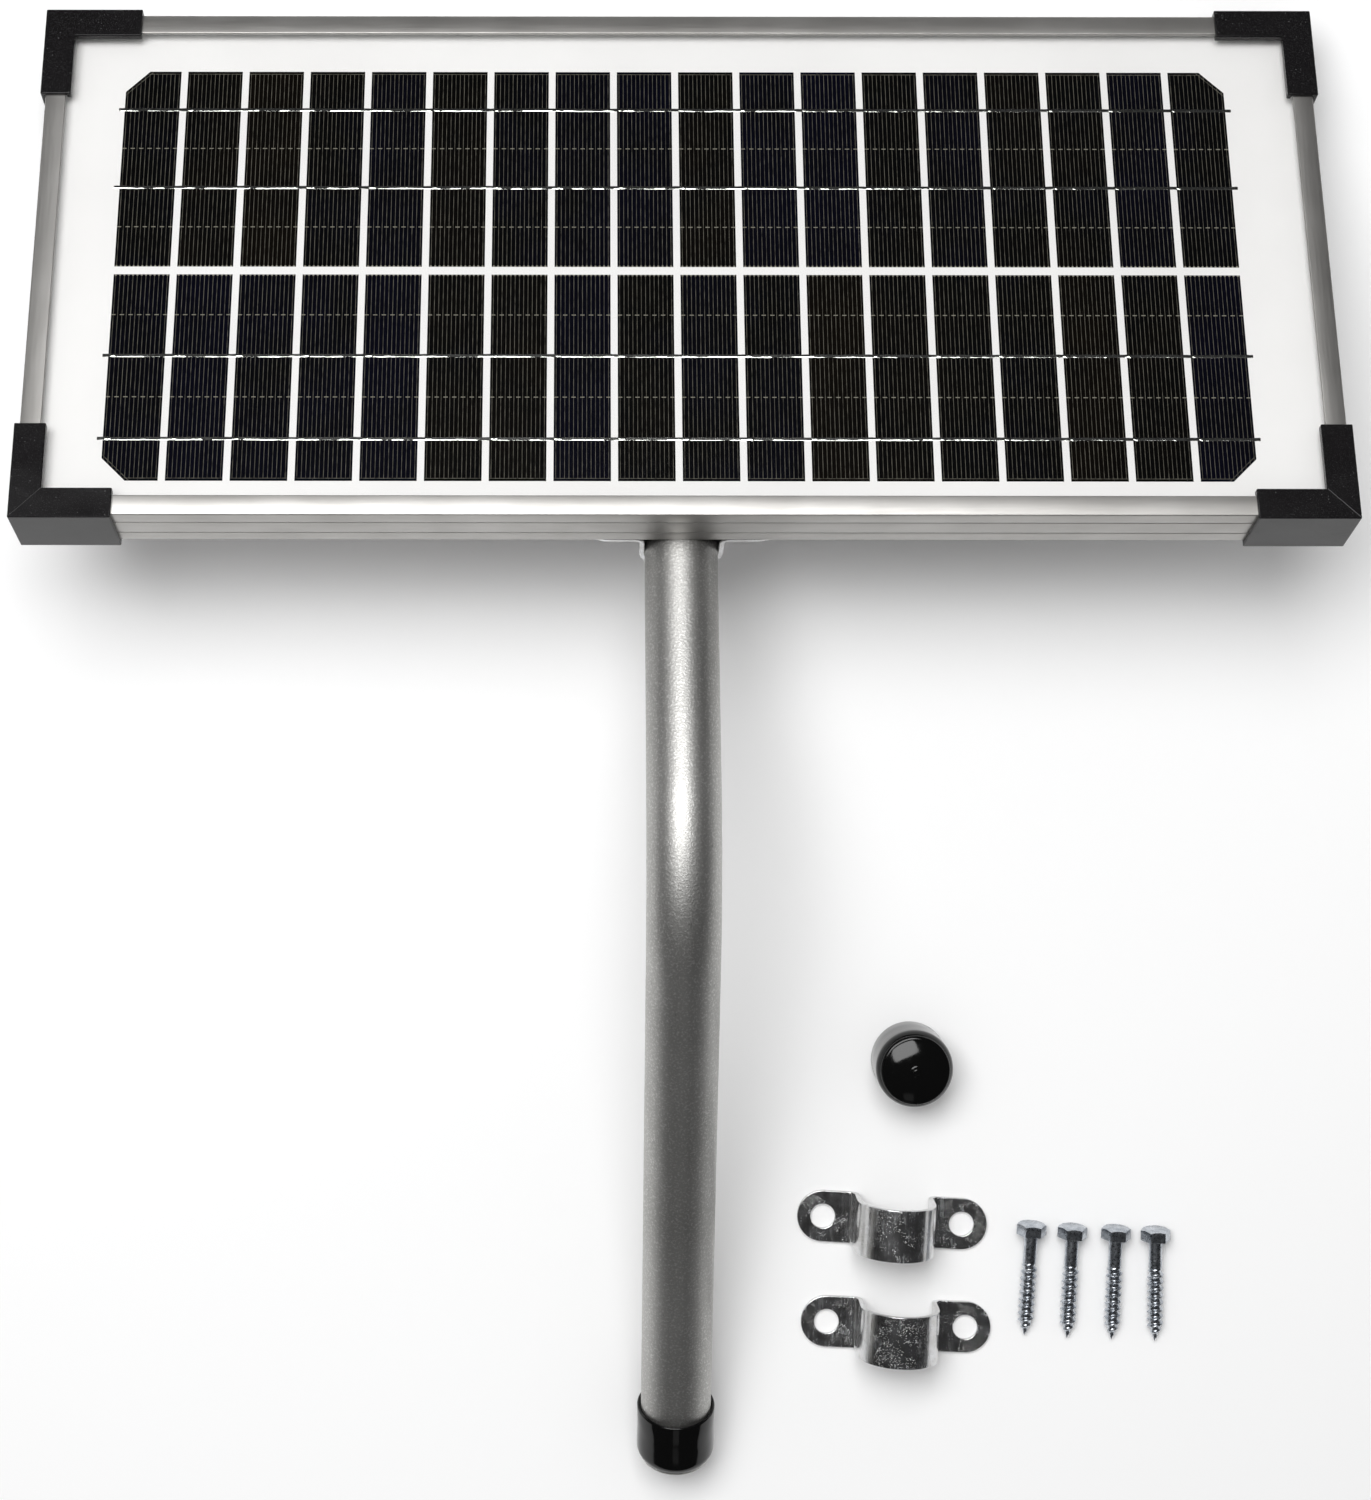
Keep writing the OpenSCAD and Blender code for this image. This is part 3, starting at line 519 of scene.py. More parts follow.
def silicon():
    """Near-black cells with printed silver fingers, dashed links and a border line."""
    look = Look("silicon_cells", (0.004, 0.004, 0.006), 0.2, specular=0.04)
    spot = look.node("ShaderNodeSeparateXYZ")
    look.link(look.place(in_panel=True), spot.inputs[0])
    x, y = spot.outputs["X"], spot.outputs["Y"]
    across = look.math("DIVIDE", look.math("SUBTRACT", x, cells_low.x), PITCH)
    column = look.math("FLOOR", across)
    in_cell = look.math("MULTIPLY", look.math("FRACT", across), PITCH)
    from_middle = look.math("SUBTRACT", y, ARRAY_Y)
    inward = look.math("SUBTRACT", HALF_ARRAY, look.math("ABSOLUTE", from_middle))
    finger_pitch = CELL_W / FINGERS
    phase = look.math("DIVIDE", in_cell, finger_pitch)
    off_middle = look.math("ABSOLUTE", look.math("SUBTRACT", look.math("FRACT", phase), 0.5))
    to_finger = look.math("MULTIPLY", off_middle, finger_pitch)

    def stripe(distance, half_width):
        """1 on a line, 0 off it, for a distance to its middle."""
        return look.math("LESS_THAN", distance, half_width)

    def near(value, target, half_width):
        return stripe(look.math("ABSOLUTE", look.math("SUBTRACT", value, target)), half_width)

    wear = look.ramp(look.noise(look.place(in_panel=True, stretch=(1, 0.35, 1)), 1.1 * MM, 2),
                     (0.3, 0.3), (0.62, 1.0))
    fingers = look.math("MULTIPLY", stripe(to_finger, 0.1 * MM), look.math("GREATER_THAN", inward, 0.9 * MM))
    dashed = look.math("LESS_THAN", look.math("FRACT", look.math("MULTIPLY", phase, 0.5)), 0.5)
    links = 0.0
    for step in LINK_STEPS:
        links = look.math("MAXIMUM", links, near(inward, step * CELL_H, 0.16 * MM))
    links = look.math("MULTIPLY", links, dashed)
    border = near(inward, 1.0 * MM, 0.12 * MM)
    side = look.math("SUBTRACT", (cells_high.x - cells_low.x) / 2,
                     look.math("ABSOLUTE", look.math("SUBTRACT", x, ARRAY_X)))
    corner = look.math("ADD", side, inward)
    border = look.math("MAXIMUM", border, near(corner, CHAMFER + 1.4 * MM, 0.17 * MM))
    ends = look.math("MULTIPLY", stripe(to_finger, 0.3 * MM),
                     look.math("GREATER_THAN", inward, CELL_H - 0.55 * MM))
    lines = look.math("MAXIMUM", look.math("MULTIPLY", fingers, 0.34), look.math("MULTIPLY", border, 0.34))
    lines = look.math("MAXIMUM", look.math("MULTIPLY", lines, wear), look.math("MULTIPLY", links, 0.7))
    lines = look.math("MAXIMUM", lines, look.math("MULTIPLY", ends, 0.8))
    cell_number = look.node("ShaderNodeCombineXYZ")
    look.link(column, cell_number.inputs[0])
    look.link(look.math("SIGN", from_middle), cell_number.inputs[1])
    shade = look.node("ShaderNodeTexWhiteNoise", noise_dimensions="3D")
    look.link(cell_number.outputs[0], shade.inputs["Vector"])
    patch = look.noise(look.place(in_panel=True), 22 * MM, 2)
    tint = look.math("MULTIPLY", shade.outputs["Value"], 0.5)
    tint = look.math("ADD", tint, look.math("MULTIPLY", patch, 0.5))
    base = look.ramp(tint, (0.25, (0.0018, 0.0018, 0.005)), (0.5, (0.0016, 0.0016, 0.0018)),
                     (0.75, (0.003, 0.0022, 0.0016)))
    look.colour(look.mix(lines, base, (0.3, 0.28, 0.235)))
    return look.material


def ribbons():
    """Four flat wires with a crowned top, uneven solder, and a bright blob where each one lands on a cell."""
    width = 1.2 * MM
    top = cells_high.z
    thick = 0.06 * MM
    crown = 0.09 * MM
    over = 2 * MM
    low_x, high_x = panel_box("cell_ribbons")[0].x, panel_box("cell_ribbons")[1].x
    rows = []
    steps = int((high_x - low_x) / (0.6 * MM))
    for up in (-1, 1):
        for step in RIBBON_STEPS:
            y = ARRAY_Y + up * (HALF_ARRAY - step * CELL_H)
            rings = []
            drift = 0.0
            for k in range(steps + 1):
                x = low_x + (high_x - low_x) * k / steps
                drift = 0.9 * drift + rng.uniform(-0.03, 0.03) * MM
                lift = rng.uniform(0.0, 0.015) * MM
                half = width / 2 * rng.uniform(0.9, 1.05)
                if k % 6 == 0:
                    slope = rng.choice((0.0, 0.12, 0.3, 0.45)) * width / 2
                high = top + thick + crown
                rings.append([
                    (x, y + drift - half, top),
                    (x, y + drift - half, high - slope * SLOPE),
                    (x, y + drift - half + slope + 0.02 * MM, high + lift),
                    (x, y + drift, high + lift),
                    (x, y + drift + half * 0.8, high + lift),
                    (x, y + drift + half, high - 0.03 * MM),
                    (x, y + drift + half, top),
                ])
            rows.append(loft(rings))
            for column in range(COLUMNS):
                rows.append(solder(cells_low.x + column * PITCH, y, top, thick + crown))
    return joined(rows)


def solder(cell_x, y, z, height):
    """A low uneven blob near a cell's side edge."""
    length, width = rng.uniform(1.0, 1.8) * MM, rng.uniform(0.6, 0.8) * MM
    x = cell_x + rng.uniform(1.2, 1.9) * MM
    sides, levels = 14, 4
    rings = []
    for level in range(levels):
        a = math.pi / 2 * level / levels
        rings.append([
            (x + length * math.cos(a) * math.cos(TAU * k / sides) * rng.uniform(0.85, 1.0),
             y + width * math.cos(a) * math.sin(TAU * k / sides) * rng.uniform(0.85, 1.0),
             z + height * 0.7 + 0.16 * MM * math.sin(a))
            for k in range(sides)
        ])
    return loft(rings)


# ---- Frame ----

LIP_W = 7.2 * MM
LIP_T = 1.3 * MM
WALL = 1.5 * MM
FLANGE = 20 * MM
SHELF_T = 1.3 * MM
SHELF_Z = panel_box("edge_seal")[0].z
glass_low, glass_high = panel_box("cover_glass")


def rail_outline():
    """Section of a rail: (in from the outer side, out from the back)."""
    groove, deep = 0.25 * MM, 0.3 * MM
    soft, tight = 0.35 * MM, 0.15 * MM
    shelf = LIP_W - 0.2 * MM
    outline = [
        (0, 0, soft), (FLANGE, 0, soft), (FLANGE, WALL, soft), (WALL, WALL, soft),
        (WALL, SHELF_Z - SHELF_T, soft), (shelf, SHELF_Z - SHELF_T, tight), (shelf, SHELF_Z, tight),
        (WALL, SHELF_Z, tight), (WALL, PANEL_D - LIP_T, tight), (LIP_W, PANEL_D - LIP_T, soft),
        (LIP_W, PANEL_D, soft), (0, PANEL_D, soft),
    ]
    for share in (0.31, 0.71):
        z = PANEL_D * (1 - share)
        outline += [(0, z + groove, tight / 2), (deep, z + groove / 2, 0), (deep, z - groove / 2, 0),
                    (0, z - groove, tight / 2)]
    return rounded(outline)


def rail(length):
    """A rail along X with its outer side at Y = 0 and mitred ends."""
    section = rail_outline()
    return loft([
        [(-length / 2 + d, d, z) for d, z in section],
        [(length / 2 - d, d, z) for d, z in section],
    ])


def make_frame():
    lengthwise = anodised("anodised_lengthwise", 0)
    upright = anodised("anodised_upright", 1)
    quarter = math.pi / 2
    for name, length, turn, place, material in (
        ("frame_rail_bottom", PANEL_W, 0, (0, 0), lengthwise),
        ("frame_rail_top", PANEL_W, 2 * quarter, (0, PANEL_H), lengthwise),
        ("frame_rail_left", PANEL_H, -quarter, (-PANEL_W / 2, PANEL_H / 2), upright),
        ("frame_rail_right", PANEL_H, quarter, (PANEL_W / 2, PANEL_H / 2), upright),
    ):
        matrix = PANEL @ Matrix.Translation((*place, 0)) @ Matrix.Rotation(turn, 4, "Z")
        verts, faces = rail(length)
        piece(name + "_profile", verts, faces, material, "panel", [name], matrix, sharp=50)


def corner_shape():
    """A corner cap with its legs along +X and +Y, wrapped round the front, the sides and the back."""
    leg_low, leg_high = panel_box("corner_cap_bl")
    t = -leg_low.z
    leg = leg_high.x + PANEL_W / 2
    face = 10.8 * MM - t
    skirt = glass_high.z + 0.1 * MM
    gap, deep = 0.38 * MM, 0.32 * MM
    profile = [
        (face, -t), (-t, -t), (-t, PANEL_D + t), (face, PANEL_D + t), (face, skirt),
        (face - t, skirt), (face - t, PANEL_D), (0, PANEL_D), (0, 0), (face, 0),
    ]
    front = PANEL_D + t / 2

    def mitre(d, z):
        return (d, d, z - deep if z > front else z)

    return loft([
        [(leg, d, z) for d, z in profile],
        [(d + gap, d, z) for d, z in profile],
        [mitre(d, z) for d, z in profile],
        [(d, d + gap, z) for d, z in profile],
        [(d, leg, z) for d, z in profile],
    ])


def make_corners(material):
    for name in CORNERS:
        right, top = name.endswith("r"), name[-2] == "t"
        place = Matrix.Translation(((right - 0.5) * PANEL_W, top * PANEL_H, 0))
        flip = Matrix.Diagonal((-1 if right else 1, -1 if top else 1, 1, 1))
        verts, faces = corner_shape()
        piece(name + "_moulding", verts, faces, material, "panel", [name],
              PANEL @ place @ flip, sharp=30, bevel=(0.5 * MM, 50, 3))


def make_glass():
    low, high = glass_low, glass_high
    nip = 1.2 * MM
    verts, faces = loft([
        [(low.x + nip, low.y, z), (high.x - nip, low.y, z),
         (high.x, low.y + nip, z), (high.x, high.y - nip, z),
         (high.x - nip, high.y, z), (low.x + nip, high.y, z),
         (low.x, high.y - nip, z), (low.x, low.y + nip, z)]
        for z in (low.z, high.z)
    ])
    pane = piece("cover_glass_pane", verts, faces, clear_glass(), "panel",
                 ["cover_glass", "front_encapsulant"], PANEL, sharp=30, bevel=(0.4 * MM, 40, 2))
    pane.visible_shadow = False


# ---- Pole and caps ----

POLE_R = 12.7 * MM
POLE_WALL = 1.5 * MM
BEND_R = 80 * MM
POLE_ABOVE = 130 * MM              # from the swivel point up to the pole's top end
POLE_BELOW = 115.3 * MM            # from the swivel point down to where the two straight lines cross
LOWER_LEN = 245 * MM               # from that crossing to the end cap's crown
CAP_LEN = 25 * MM
CAP_DEPTH = 2.45 * MM              # from the pole's end to the end cap's crown
SWIVEL = Vector(JOINTS["pole_swivel"]["pos_m"])
CROSSING = SWIVEL - UP * POLE_BELOW


def pole_path():
    """Points down the pole's middle with the direction at each, from its top end to inside the end cap."""
    top = SWIVEL + UP * POLE_ABOVE
    bend = (-UP).angle(DOWN_POLE)
    run = BEND_R * math.tan(bend / 2)
    side = (DOWN_POLE + UP * math.cos(bend)).normalized()
    end = CROSSING + DOWN_POLE * (LOWER_LEN - CAP_DEPTH)
    centre = CROSSING + UP * run + side * BEND_R
    bend_steps = 32
    points = []
    for share in (0, 0.002, 0.004, 0.25, 0.5, 0.75):
        points.append((top.lerp(CROSSING + UP * run, share), -UP))
    for k in range(bend_steps + 1):
        a = bend * k / bend_steps
        outward = -side * math.cos(a) - UP * math.sin(a)
        points.append((centre + outward * BEND_R, -UP * math.cos(a) + side * math.sin(a)))
    start = CROSSING + DOWN_POLE * run
    for share in (0.25, 0.5, 0.75, 0.996, 0.998, 1):
        points.append((start.lerp(end, share), DOWN_POLE))
    return points


def pole_shape():
    sides = 96
    path = pole_path()
    last = len(path) - 1

    def ring(index, radius):
        point, along = path[index]
        upright = ACROSS.cross(along).normalized()
        return [
            point + (ACROSS * math.cos(TAU * k / sides) + upright * math.sin(TAU * k / sides)) * radius
            for k in range(sides)
        ]

    chamfer = 0.35 * MM
    rings = [ring(0, POLE_R - chamfer)]
    rings += [ring(i, POLE_R) for i in range(1, last)]
    rings += [ring(last, POLE_R - chamfer), ring(last, POLE_R - POLE_WALL + chamfer)]
    rings += [ring(i, POLE_R - POLE_WALL) for i in range(last - 1, 0, -1)]
    rings += [ring(0, POLE_R - POLE_WALL + chamfer), ring(0, POLE_R - chamfer)]
    return loft(rings, closed_ends=False)


def cap_shape(nub):
    """A soft cap standing on its open rim at Z = 0, its crown domed."""
    outer, length, bore = 14.1 * MM, CAP_LEN, 12.76 * MM
    shoulder, dome, rim = 5.4 * MM, 1.7 * MM, 0.55 * MM
    flat = outer - shoulder
    inside = length - 2.4 * MM
    fillet = 1.5 * MM
    profile = [(0, inside), (bore - fillet, inside)]
    profile += arc((bore - fillet, inside - fillet), fillet, 90, 0, 6)
    profile += [(bore, rim)]
    profile += arc((outer - rim, rim), rim, -180, 0, 10)
    profile += [(outer - 0.12 * MM, length * 0.3), (outer, length * 0.6)]
    profile += arc((flat, length - dome - shoulder), shoulder, 0, 68, 14)
    edge_r, edge_z = profile[-1]
    rise = length - edge_z
    dome_steps = 9
    for k in range(1, dome_steps):
        r = edge_r * (1 - k / dome_steps)
        profile.append((r, length - rise * (r / edge_r) ** 2))
    if nub:
        nub_top = length + 0.8 * MM
        profile[-1:] = [(1.6 * MM, length - 0.02 * MM), (1.2 * MM, length + 0.6 * MM), (0.7 * MM, nub_top)]
        profile.append((0, nub_top))
    else:
        profile.append((0, length))
    return turned(profile, 96)


def make_pole():
    verts, faces = pole_shape()
    piece("pole_tube", verts, faces, pole_paint(), "pole", ["pole"], sharp=50)


def make_caps(material):
    low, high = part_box("spare_cap")
    verts, faces = cap_shape(nub=True)
    place = Matrix.Translation(((low.x + high.x) / 2, (low.y + high.y) / 2, low.z))
    piece("spare_cap_vinyl", verts, faces, material, "spare_cap", ["spare_cap"], place, sharp=60)
    rim = CROSSING + DOWN_POLE * (LOWER_LEN - CAP_LEN)
    turn = DOWN_POLE.to_track_quat("Z", "Y").to_matrix().to_4x4()
    verts, faces = cap_shape(nub=False)
    piece("end_cap_vinyl", verts, faces, material, "end_cap", ["end_cap"],
          Matrix.Translation(rim) @ turn, sharp=60)


# ---- Straps and fasteners ----

STRAP_T = 1.8 * MM
STRAP_W = 19 * MM
STRAP_HOLES = 51.4 * MM
HOLE_R = 4.5 * MM
SADDLE_R = 12.75 * MM
STRAP_BEND = 2 * MM
HOLE_STEPS = 60
LOWER_STRAP_Y = STRAP_W / 2
UPPER_STRAP_Y = 114 * MM
TINY = 1e-9


def strap_half():
    """(lower point, upper point) pairs in X and Z from the neck of the right ear up to the crown."""
    pairs = []
    centre = (SADDLE_R + STRAP_T + STRAP_BEND, STRAP_T + STRAP_BEND)
    neck_steps, arch_steps = 9, 24
    for k in range(neck_steps + 1):
        a = math.radians(-90 - 90 * k / neck_steps)
        d = (math.cos(a), math.sin(a))
        pairs.append((
            (centre[0] + d[0] * (STRAP_BEND + STRAP_T), centre[1] + d[1] * (STRAP_BEND + STRAP_T)),
            (centre[0] + d[0] * STRAP_BEND, centre[1] + d[1] * STRAP_BEND),
        ))
    for k in range(arch_steps + 1):
        a = math.radians(90 * k / arch_steps)
        d = (math.cos(a), math.sin(a))
        pairs.append((
            (d[0] * SADDLE_R, SADDLE_R + d[1] * SADDLE_R),
            (d[0] * (SADDLE_R + STRAP_T), SADDLE_R + d[1] * (SADDLE_R + STRAP_T)),
        ))
    return pairs


def ear_rows(neck_x):
    """The ear's plan round its hole: matching points on the hole and on the outline, anticlockwise from one
    neck corner to the other and back along the neck."""
    half = STRAP_W / 2
    middle = STRAP_HOLES / 2
    reach = middle - neck_x
    corner = math.degrees(math.atan2(half, -reach))
    angles = sorted({360 * k / HOLE_STEPS for k in range(HOLE_STEPS)} | {corner, 360 - corner})
    rows = []
    for a in angles:
        c, s = math.cos(math.radians(a)), math.sin(math.radians(a))
        if c >= -TINY:
            out = (middle + half * c, half * s)
        elif abs(math.tan(math.radians(a))) * reach <= half + TINY:
            out = (neck_x, -reach * math.tan(math.radians(a)))
        else:
            out = (middle + half * c / abs(s), half * (1 if s > 0 else -1))
        rows.append(((middle + HOLE_R * c, HOLE_R * s), out))
    return rows


def strap_shape():
    """A two-hole pipe strap standing on Z = 0 with its arch along Y."""
    pairs = strap_half()
    neck_x = pairs[0][0][0]
    ear = ear_rows(neck_x)
    neck_y = sorted(out[1] for _, out in ear if abs(out[0] - neck_x) < TINY)
    pairs = pairs + [((-a[0], a[1]), (-b[0], b[1])) for a, b in pairs[-2::-1]]
    parts = []
    rings = []
    for low, high in pairs:
        ring = [(low[0], y, low[1]) for y in neck_y]
        ring += [(high[0], y, high[1]) for y in reversed(neck_y)]
        rings.append(ring)
    parts.append(loft(rings, closed_ends=False))
    for side in (1, -1):
        verts, faces = [], []
        count = len(ear)
        for x, y in [inner for inner, _ in ear] + [out for _, out in ear]:
            verts += [(side * x, y, 0), (side * x, y, STRAP_T)]
        for i in range(count):
            j = (i + 1) % count
            inner_i, inner_j, out_i, out_j = 2 * i, 2 * j, 2 * (count + i), 2 * (count + j)
            faces.append([inner_i, inner_j, out_j, out_i])
            faces.append([inner_i + 1, inner_j + 1, out_j + 1, out_i + 1])
            faces.append([inner_i, inner_j, inner_j + 1, inner_i + 1])
            on_neck = abs(ear[i][1][0] - neck_x) < TINY and abs(ear[j][1][0] - neck_x) < TINY
            if not on_neck:
                faces.append([out_i, out_j, out_j + 1, out_i + 1])
        parts.append((verts, faces))
    return joined(parts)


def strap_piece(name, material, body, place):
    verts, faces = strap_shape()
    obj = piece(name + "_plate", verts, faces, material, body, [name], place)
    weld_corners(obj)
    soften(obj, 0.35 * MM, 50, 3)


def make_straps(material):
    for name, y in (("back_strap_lower", LOWER_STRAP_Y), ("back_strap_upper", UPPER_STRAP_Y)):
        place = PANEL @ Matrix.Translation((0, y, 0)) @ Matrix.Rotation(math.pi, 4, "Y")
        strap_piece(name, material, "panel", place)
    for name in ("post_strap_1", "post_strap_2"):
        mount = MOUNTS[name + "_saddle"]
        axis = Vector(mount["axis"])
        angle = math.atan2(axis.x, -axis.y)
        place = Matrix.Translation((mount["pos_m"][0], mount["pos_m"][1], 0)) @ Matrix.Rotation(angle, 4, "Z")
        strap_piece(name, material, name, place)


def hex_radius(angle, across_flats):
    """Distance from the middle of a hexagon to its side, with a corner at angle 0."""
    part = (angle % (math.pi / 3)) - math.pi / 6
    return across_flats / 2 / math.cos(part)


def hex_head(across_flats, height, sides=72):
    """A hexagonal head from Z = 0, its outer face and that edge's corners cut by the usual cone."""
    chamfer_r = across_flats * 0.475
    slope = math.tan(math.radians(30))
    nick = 0.15 * MM
    rings = []
    for kind in ("crown", "edge", "side", "foot", "under"):
        ring = []
        for k in range(sides):
            a = TAU * k / sides
            full = hex_radius(a, across_flats)
            drop = max(0.0, full - chamfer_r) * slope
            r, z = {
                "crown": (chamfer_r, 0.0),
                "edge": (full, drop),
                "side": (full, drop + nick),
                "foot": (full, height - nick),
                "under": (full - nick, height),
            }[kind]
            ring.append((r * math.cos(a), r * math.sin(a), z))
        rings.append(ring)
    return loft(rings)


def threaded(start, end, radius, root, pitch, point=0.0, sides=40):
    """A helical thread along +Z, which fades in at its start and, with a point, tapers at its end."""
    steps = int((end - start) / (pitch / 12))
    rings = []
    for k in range(steps + 1):
        z = start + (end - start) * k / steps
        left = end - z
        taper = min(1.0, left / point) if point else 1.0
        fade = min(1.0, (z - start) / pitch)
        ring = []
        for i in range(sides):
            turn = (z / pitch - i / sides) % 1
            ridge = max(0.0, 1 - abs(turn - 0.5) / 0.3) ** 0.8
            r = root + (radius - root) * ridge * fade
            r = r * taper + 0.05 * MM
            ring.append((r * math.cos(TAU * i / sides), r * math.sin(TAU * i / sides), z))
        rings.append(ring)
    return loft(rings)


def rod(radius, start, end, sides=40):
    return loft([
        [(radius * math.cos(TAU * k / sides), radius * math.sin(TAU * k / sides), z) for k in range(sides)]
        for z in (start, end)
    ])


HEAD_AF = 9.5 * MM
HEAD_H = 4.2 * MM
SCREW_LEN = 38 * MM
SHANK = 10 * MM
THREAD_R = 3 * MM
THREAD_PITCH = 2.6 * MM
THREAD_POINT = 6 * MM
SCREW_TURNS = (-3.2, -2.2, -1.7, 0.4)
SCREW_LEAN = math.atan((HEAD_AF / 2 - THREAD_R) / (SCREW_LEN - 2 * THREAD_PITCH))


def make_screws(material):
    """Each screw lies on a flat of its head and on its thread, its point towards -Y."""
    for number, turn in enumerate(SCREW_TURNS, start=1):
        name = f"lag_screw_{number}"
        low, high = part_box(name)
        verts, faces = joined([
            hex_head(HEAD_AF, HEAD_H),
            rod(2.4 * MM, HEAD_H - 0.2 * MM, HEAD_H + SHANK + 0.4 * MM),
            threaded(HEAD_H + SHANK - 0.3 * MM, HEAD_H + SCREW_LEN, THREAD_R, 2.1 * MM, THREAD_PITCH,
                     point=THREAD_POINT),
        ])
        upright = Matrix.Translation((0, HEAD_H, HEAD_AF / 2)) @ Matrix.Rotation(math.pi / 2, 4, "X")
        lying = Matrix.Rotation(math.radians(turn), 4, "Z") @ Matrix.Rotation(SCREW_LEAN, 4, "X") @ upright
        rough = [lying @ Vector(v) for v in verts]
        span = [(min(p[i] for p in rough), max(p[i] for p in rough)) for i in range(2)]
        shift = Vector(((low.x + high.x) / 2 - sum(span[0]) / 2, (low.y + high.y) / 2 - sum(span[1]) / 2, 0))
        piece(name + "_steel", verts, faces, material, name, [name],
              Matrix.Translation(shift) @ lying, sharp=45)


BOLT_R = 3 * MM
BOLT_AF = 10 * MM
BOLT_HEAD_H = 4 * MM
BOLT_PAST = 6 * MM                 # how far a bolt stands past the brace's back face
NUT_H = 5 * MM
WASHER_T = 1.2 * MM
BRACE_T = 2 * MM


def bolt_places():
    """(matrix, thickness of what lies in front of the strap) for each bolt of the two back straps."""
    for y, seat in ((LOWER_STRAP_Y, WALL), (UPPER_STRAP_Y, BRACE_T)):
        for side in (-1, 1):
            yield Matrix.Translation((side * STRAP_HOLES / 2, y, 0)), seat


def make_bolts(material):
    under = -STRAP_T - WASHER_T
    bolts, washers, nuts = [], [], []
    for place, seat in bolt_places():
        spin = Matrix.Rotation(rng.uniform(0, math.pi), 4, "Z")
        outward = Matrix.Translation((0, 0, under - BOLT_HEAD_H))
        bolts.append(moved(hex_head(BOLT_AF, BOLT_HEAD_H), place @ spin @ outward))
        shaft = threaded(under - 0.2 * MM, BRACE_T + BOLT_PAST, BOLT_R, BOLT_R - 0.35 * MM, 1 * MM, sides=24)
        bolts.append(moved(shaft, place))
        washer = ring_shape(BOLT_R + 0.05 * MM, HOLE_R + 2 * MM, WASHER_T)
        washers.append(moved(washer, place @ Matrix.Translation((0, 0, under))))
        twist = Matrix.Rotation(rng.uniform(0, 1), 4, "Z")
        nuts.append(moved(hex_head(BOLT_AF, NUT_H), place @ Matrix.Translation((0, 0, seat)) @ twist))
    for name, shapes in (("strap_bolts", bolts), ("strap_washers", washers), ("strap_nuts", nuts)):
        verts, faces = joined(shapes)
        piece(name + "_steel", verts, faces, material, "panel", [name], PANEL, sharp=40)


def ring_shape(inner, outer, thick, sides=48):
    """A washer from Z = 0 with softened rims."""
    nip = 0.15 * MM
    profile = [(inner, nip), (inner + nip, 0), (outer - nip, 0), (outer, nip), (outer, thick - nip),
               (outer - nip, thick), (inner + nip, thick), (inner, thick - nip), (inner, nip)]
    return loft([
        [(r * math.cos(TAU * k / sides), r * math.sin(TAU * k / sides), z) for k in range(sides)]
        for r, z in profile
    ], closed_ends=False)


# ---- The rest of the nodes keep their meshes ----


def dress_nodes():
    film = white_film()
    box_black = moulded("box_black", (0.013, 0.013, 0.013), 0.42, dusty=False)
    soft = rubber()
    steel = zinc("zinc_small")
    bar = mill_aluminium()
    plain_node("solar_cells", silicon())
    plain_node("rear_encapsulant", film)
    plain_node("backsheet", film)
    plain_node("edge_seal", white_sealant())
    for name in ("string_links", "output_ribbons"):
        plain_node(name, tinned("tinned_" + name, 0.35))
    for name in ("box_adhesive", "box_gasket", "gland_seal"):
        plain_node(name, soft)
    for name in ("box_hinge_pin", "terminal_screws"):
        plain_node(name, steel)
    plain_node("terminals", brass())
    plain_node("bypass_diode", box_black)
    for name in ("box_base", "box_lid"):
        soften_node(name, box_black, 0.3 * MM)
    for name in ("gland_body", "gland_nut"):
        soften_node(name, box_black, 0.2 * MM, 35)
    for name in ("cross_brace", "corner_keys"):
        soften_node(name, bar, 0.2 * MM)
    plain_node("brace_rivets", bar)


# ---- Floor, lights and camera ----


def make_floor():
    half = 8
    mesh = bpy.data.meshes.new("floor")
    corners = [(x * half, y * half, 0) for x, y in ((-1, -1), (1, -1), (1, 1), (-1, 1))]
    mesh.from_pydata(corners, [], [(0, 1, 2, 3)])
    look = Look("pale_floor", (0.97, 0.97, 0.97), 0.9, specular=0.0)
    mesh.materials.append(look.material)
    floor = bpy.data.objects.new("floor", mesh)
    bpy.context.scene.collection.objects.link(floor)


def area_light(name, place, target, size, power):
    data = bpy.data.lights.new(name, "AREA")
    data.shape = "RECTANGLE"
    data.size, data.size_y = size
    data.energy = power
    light = bpy.data.objects.new(name, data)
    bpy.context.scene.collection.objects.link(light)
    light.location = place
    light.rotation_mode = "QUATERNION"
    light.rotation_quaternion = (Vector(place) - Vector(target)).to_track_quat("Z", "Y")
    light.visible_camera = False


def make_lights():
    target = (0, -0.02, 0.08)
    distance = 1.7
    lean, side = math.radians(21), math.radians(-10)
    key = (distance * math.sin(side), distance * math.sin(lean), distance * math.cos(lean))
    area_light("softbox", key, target, (1.25, 0.9), 27)
    area_light("front_card", (0.0, -1.45, 0.95), target, (0.35, 0.6), 0.2)
    sun = bpy.data.lights.new("fill", "SUN")
    sun.energy = 0.95
    sun.angle = math.radians(150)
    fill = bpy.data.objects.new("fill", sun)
    fill.visible_glossy = False
    bpy.context.scene.collection.objects.link(fill)


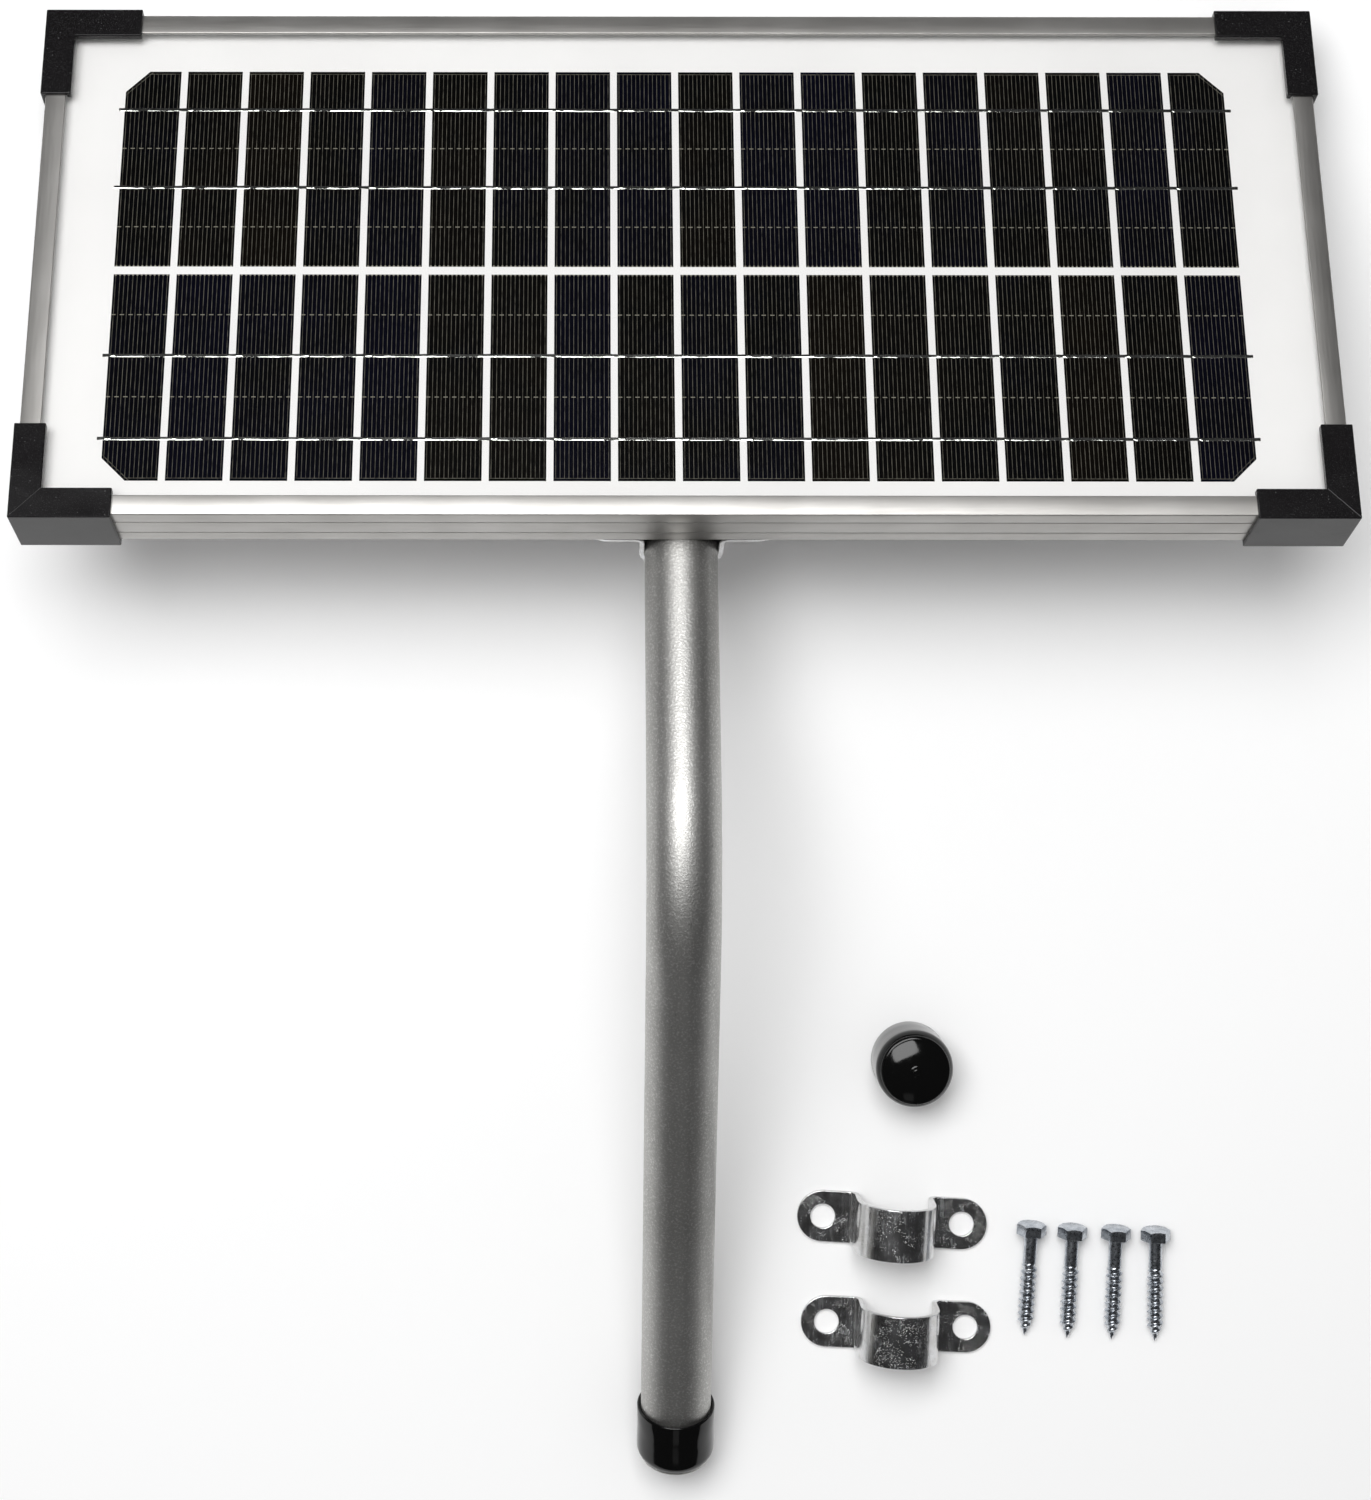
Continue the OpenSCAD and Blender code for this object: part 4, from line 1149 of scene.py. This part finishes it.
def make_world():
    """Pale for the camera, dim for everything else, as in a studio with a lit table."""
    world = bpy.data.worlds.new("studio")
    bpy.context.scene.world = world
    world.use_nodes = True
    tree = world.node_tree
    dim = tree.nodes["Background"]
    dim.inputs["Color"].default_value = (0.035, 0.035, 0.036, 1)
    pale = tree.nodes.new("ShaderNodeBackground")
    pale.inputs["Color"].default_value = (0.93, 0.93, 0.93, 1)
    ray = tree.nodes.new("ShaderNodeLightPath")
    mix = tree.nodes.new("ShaderNodeMixShader")
    tree.links.new(ray.outputs["Is Camera Ray"], mix.inputs[0])
    tree.links.new(dim.outputs[0], mix.inputs[1])
    tree.links.new(pale.outputs[0], mix.inputs[2])
    tree.links.new(mix.outputs[0], tree.nodes["World Output"].inputs["Surface"])


def make_camera():
    """Looks almost straight down from 1.05 m, a little above and left of the set's middle."""
    data = bpy.data.cameras.new("camera")
    data.sensor_width = 36
    data.lens = 68.216
    data.shift_x = 0.0642
    data.shift_y = -0.109
    data.clip_start, data.clip_end = 0.01, 50
    camera = bpy.data.objects.new("camera", data)
    bpy.context.scene.collection.objects.link(camera)
    pitch, yaw, roll = (math.radians(a) for a in (1.302, 0.055, -0.0555))
    to_camera = Matrix.Rotation(pitch, 3, "X") @ Matrix.Rotation(yaw, 3, "Y") @ Matrix.Rotation(roll, 3, "Z")
    camera.matrix_world = Matrix.Translation((-0.03282, 0.0817, 1.04797)) @ to_camera.transposed().to_4x4()
    bpy.context.scene.camera = camera


make_camera()
make_world()
make_lights()
make_floor()
bpy.context.scene.view_settings.view_transform = "Standard"

make_frame()
make_corners(moulded("corner_black", (0.0065, 0.006, 0.0065), 0.22, dusty=True))
make_glass()
ribbon_verts, ribbon_faces = ribbons()
piece("cell_ribbons_tinned", ribbon_verts, ribbon_faces, tinned("tinned_ribbon", 0.14), "panel",
      ["cell_ribbons"], PANEL, sharp=8)
make_pole()
make_caps(vinyl())
make_straps(bright_zinc())
fastener_zinc = zinc()
make_screws(fastener_zinc)
make_bolts(fastener_zinc)
dress_nodes()
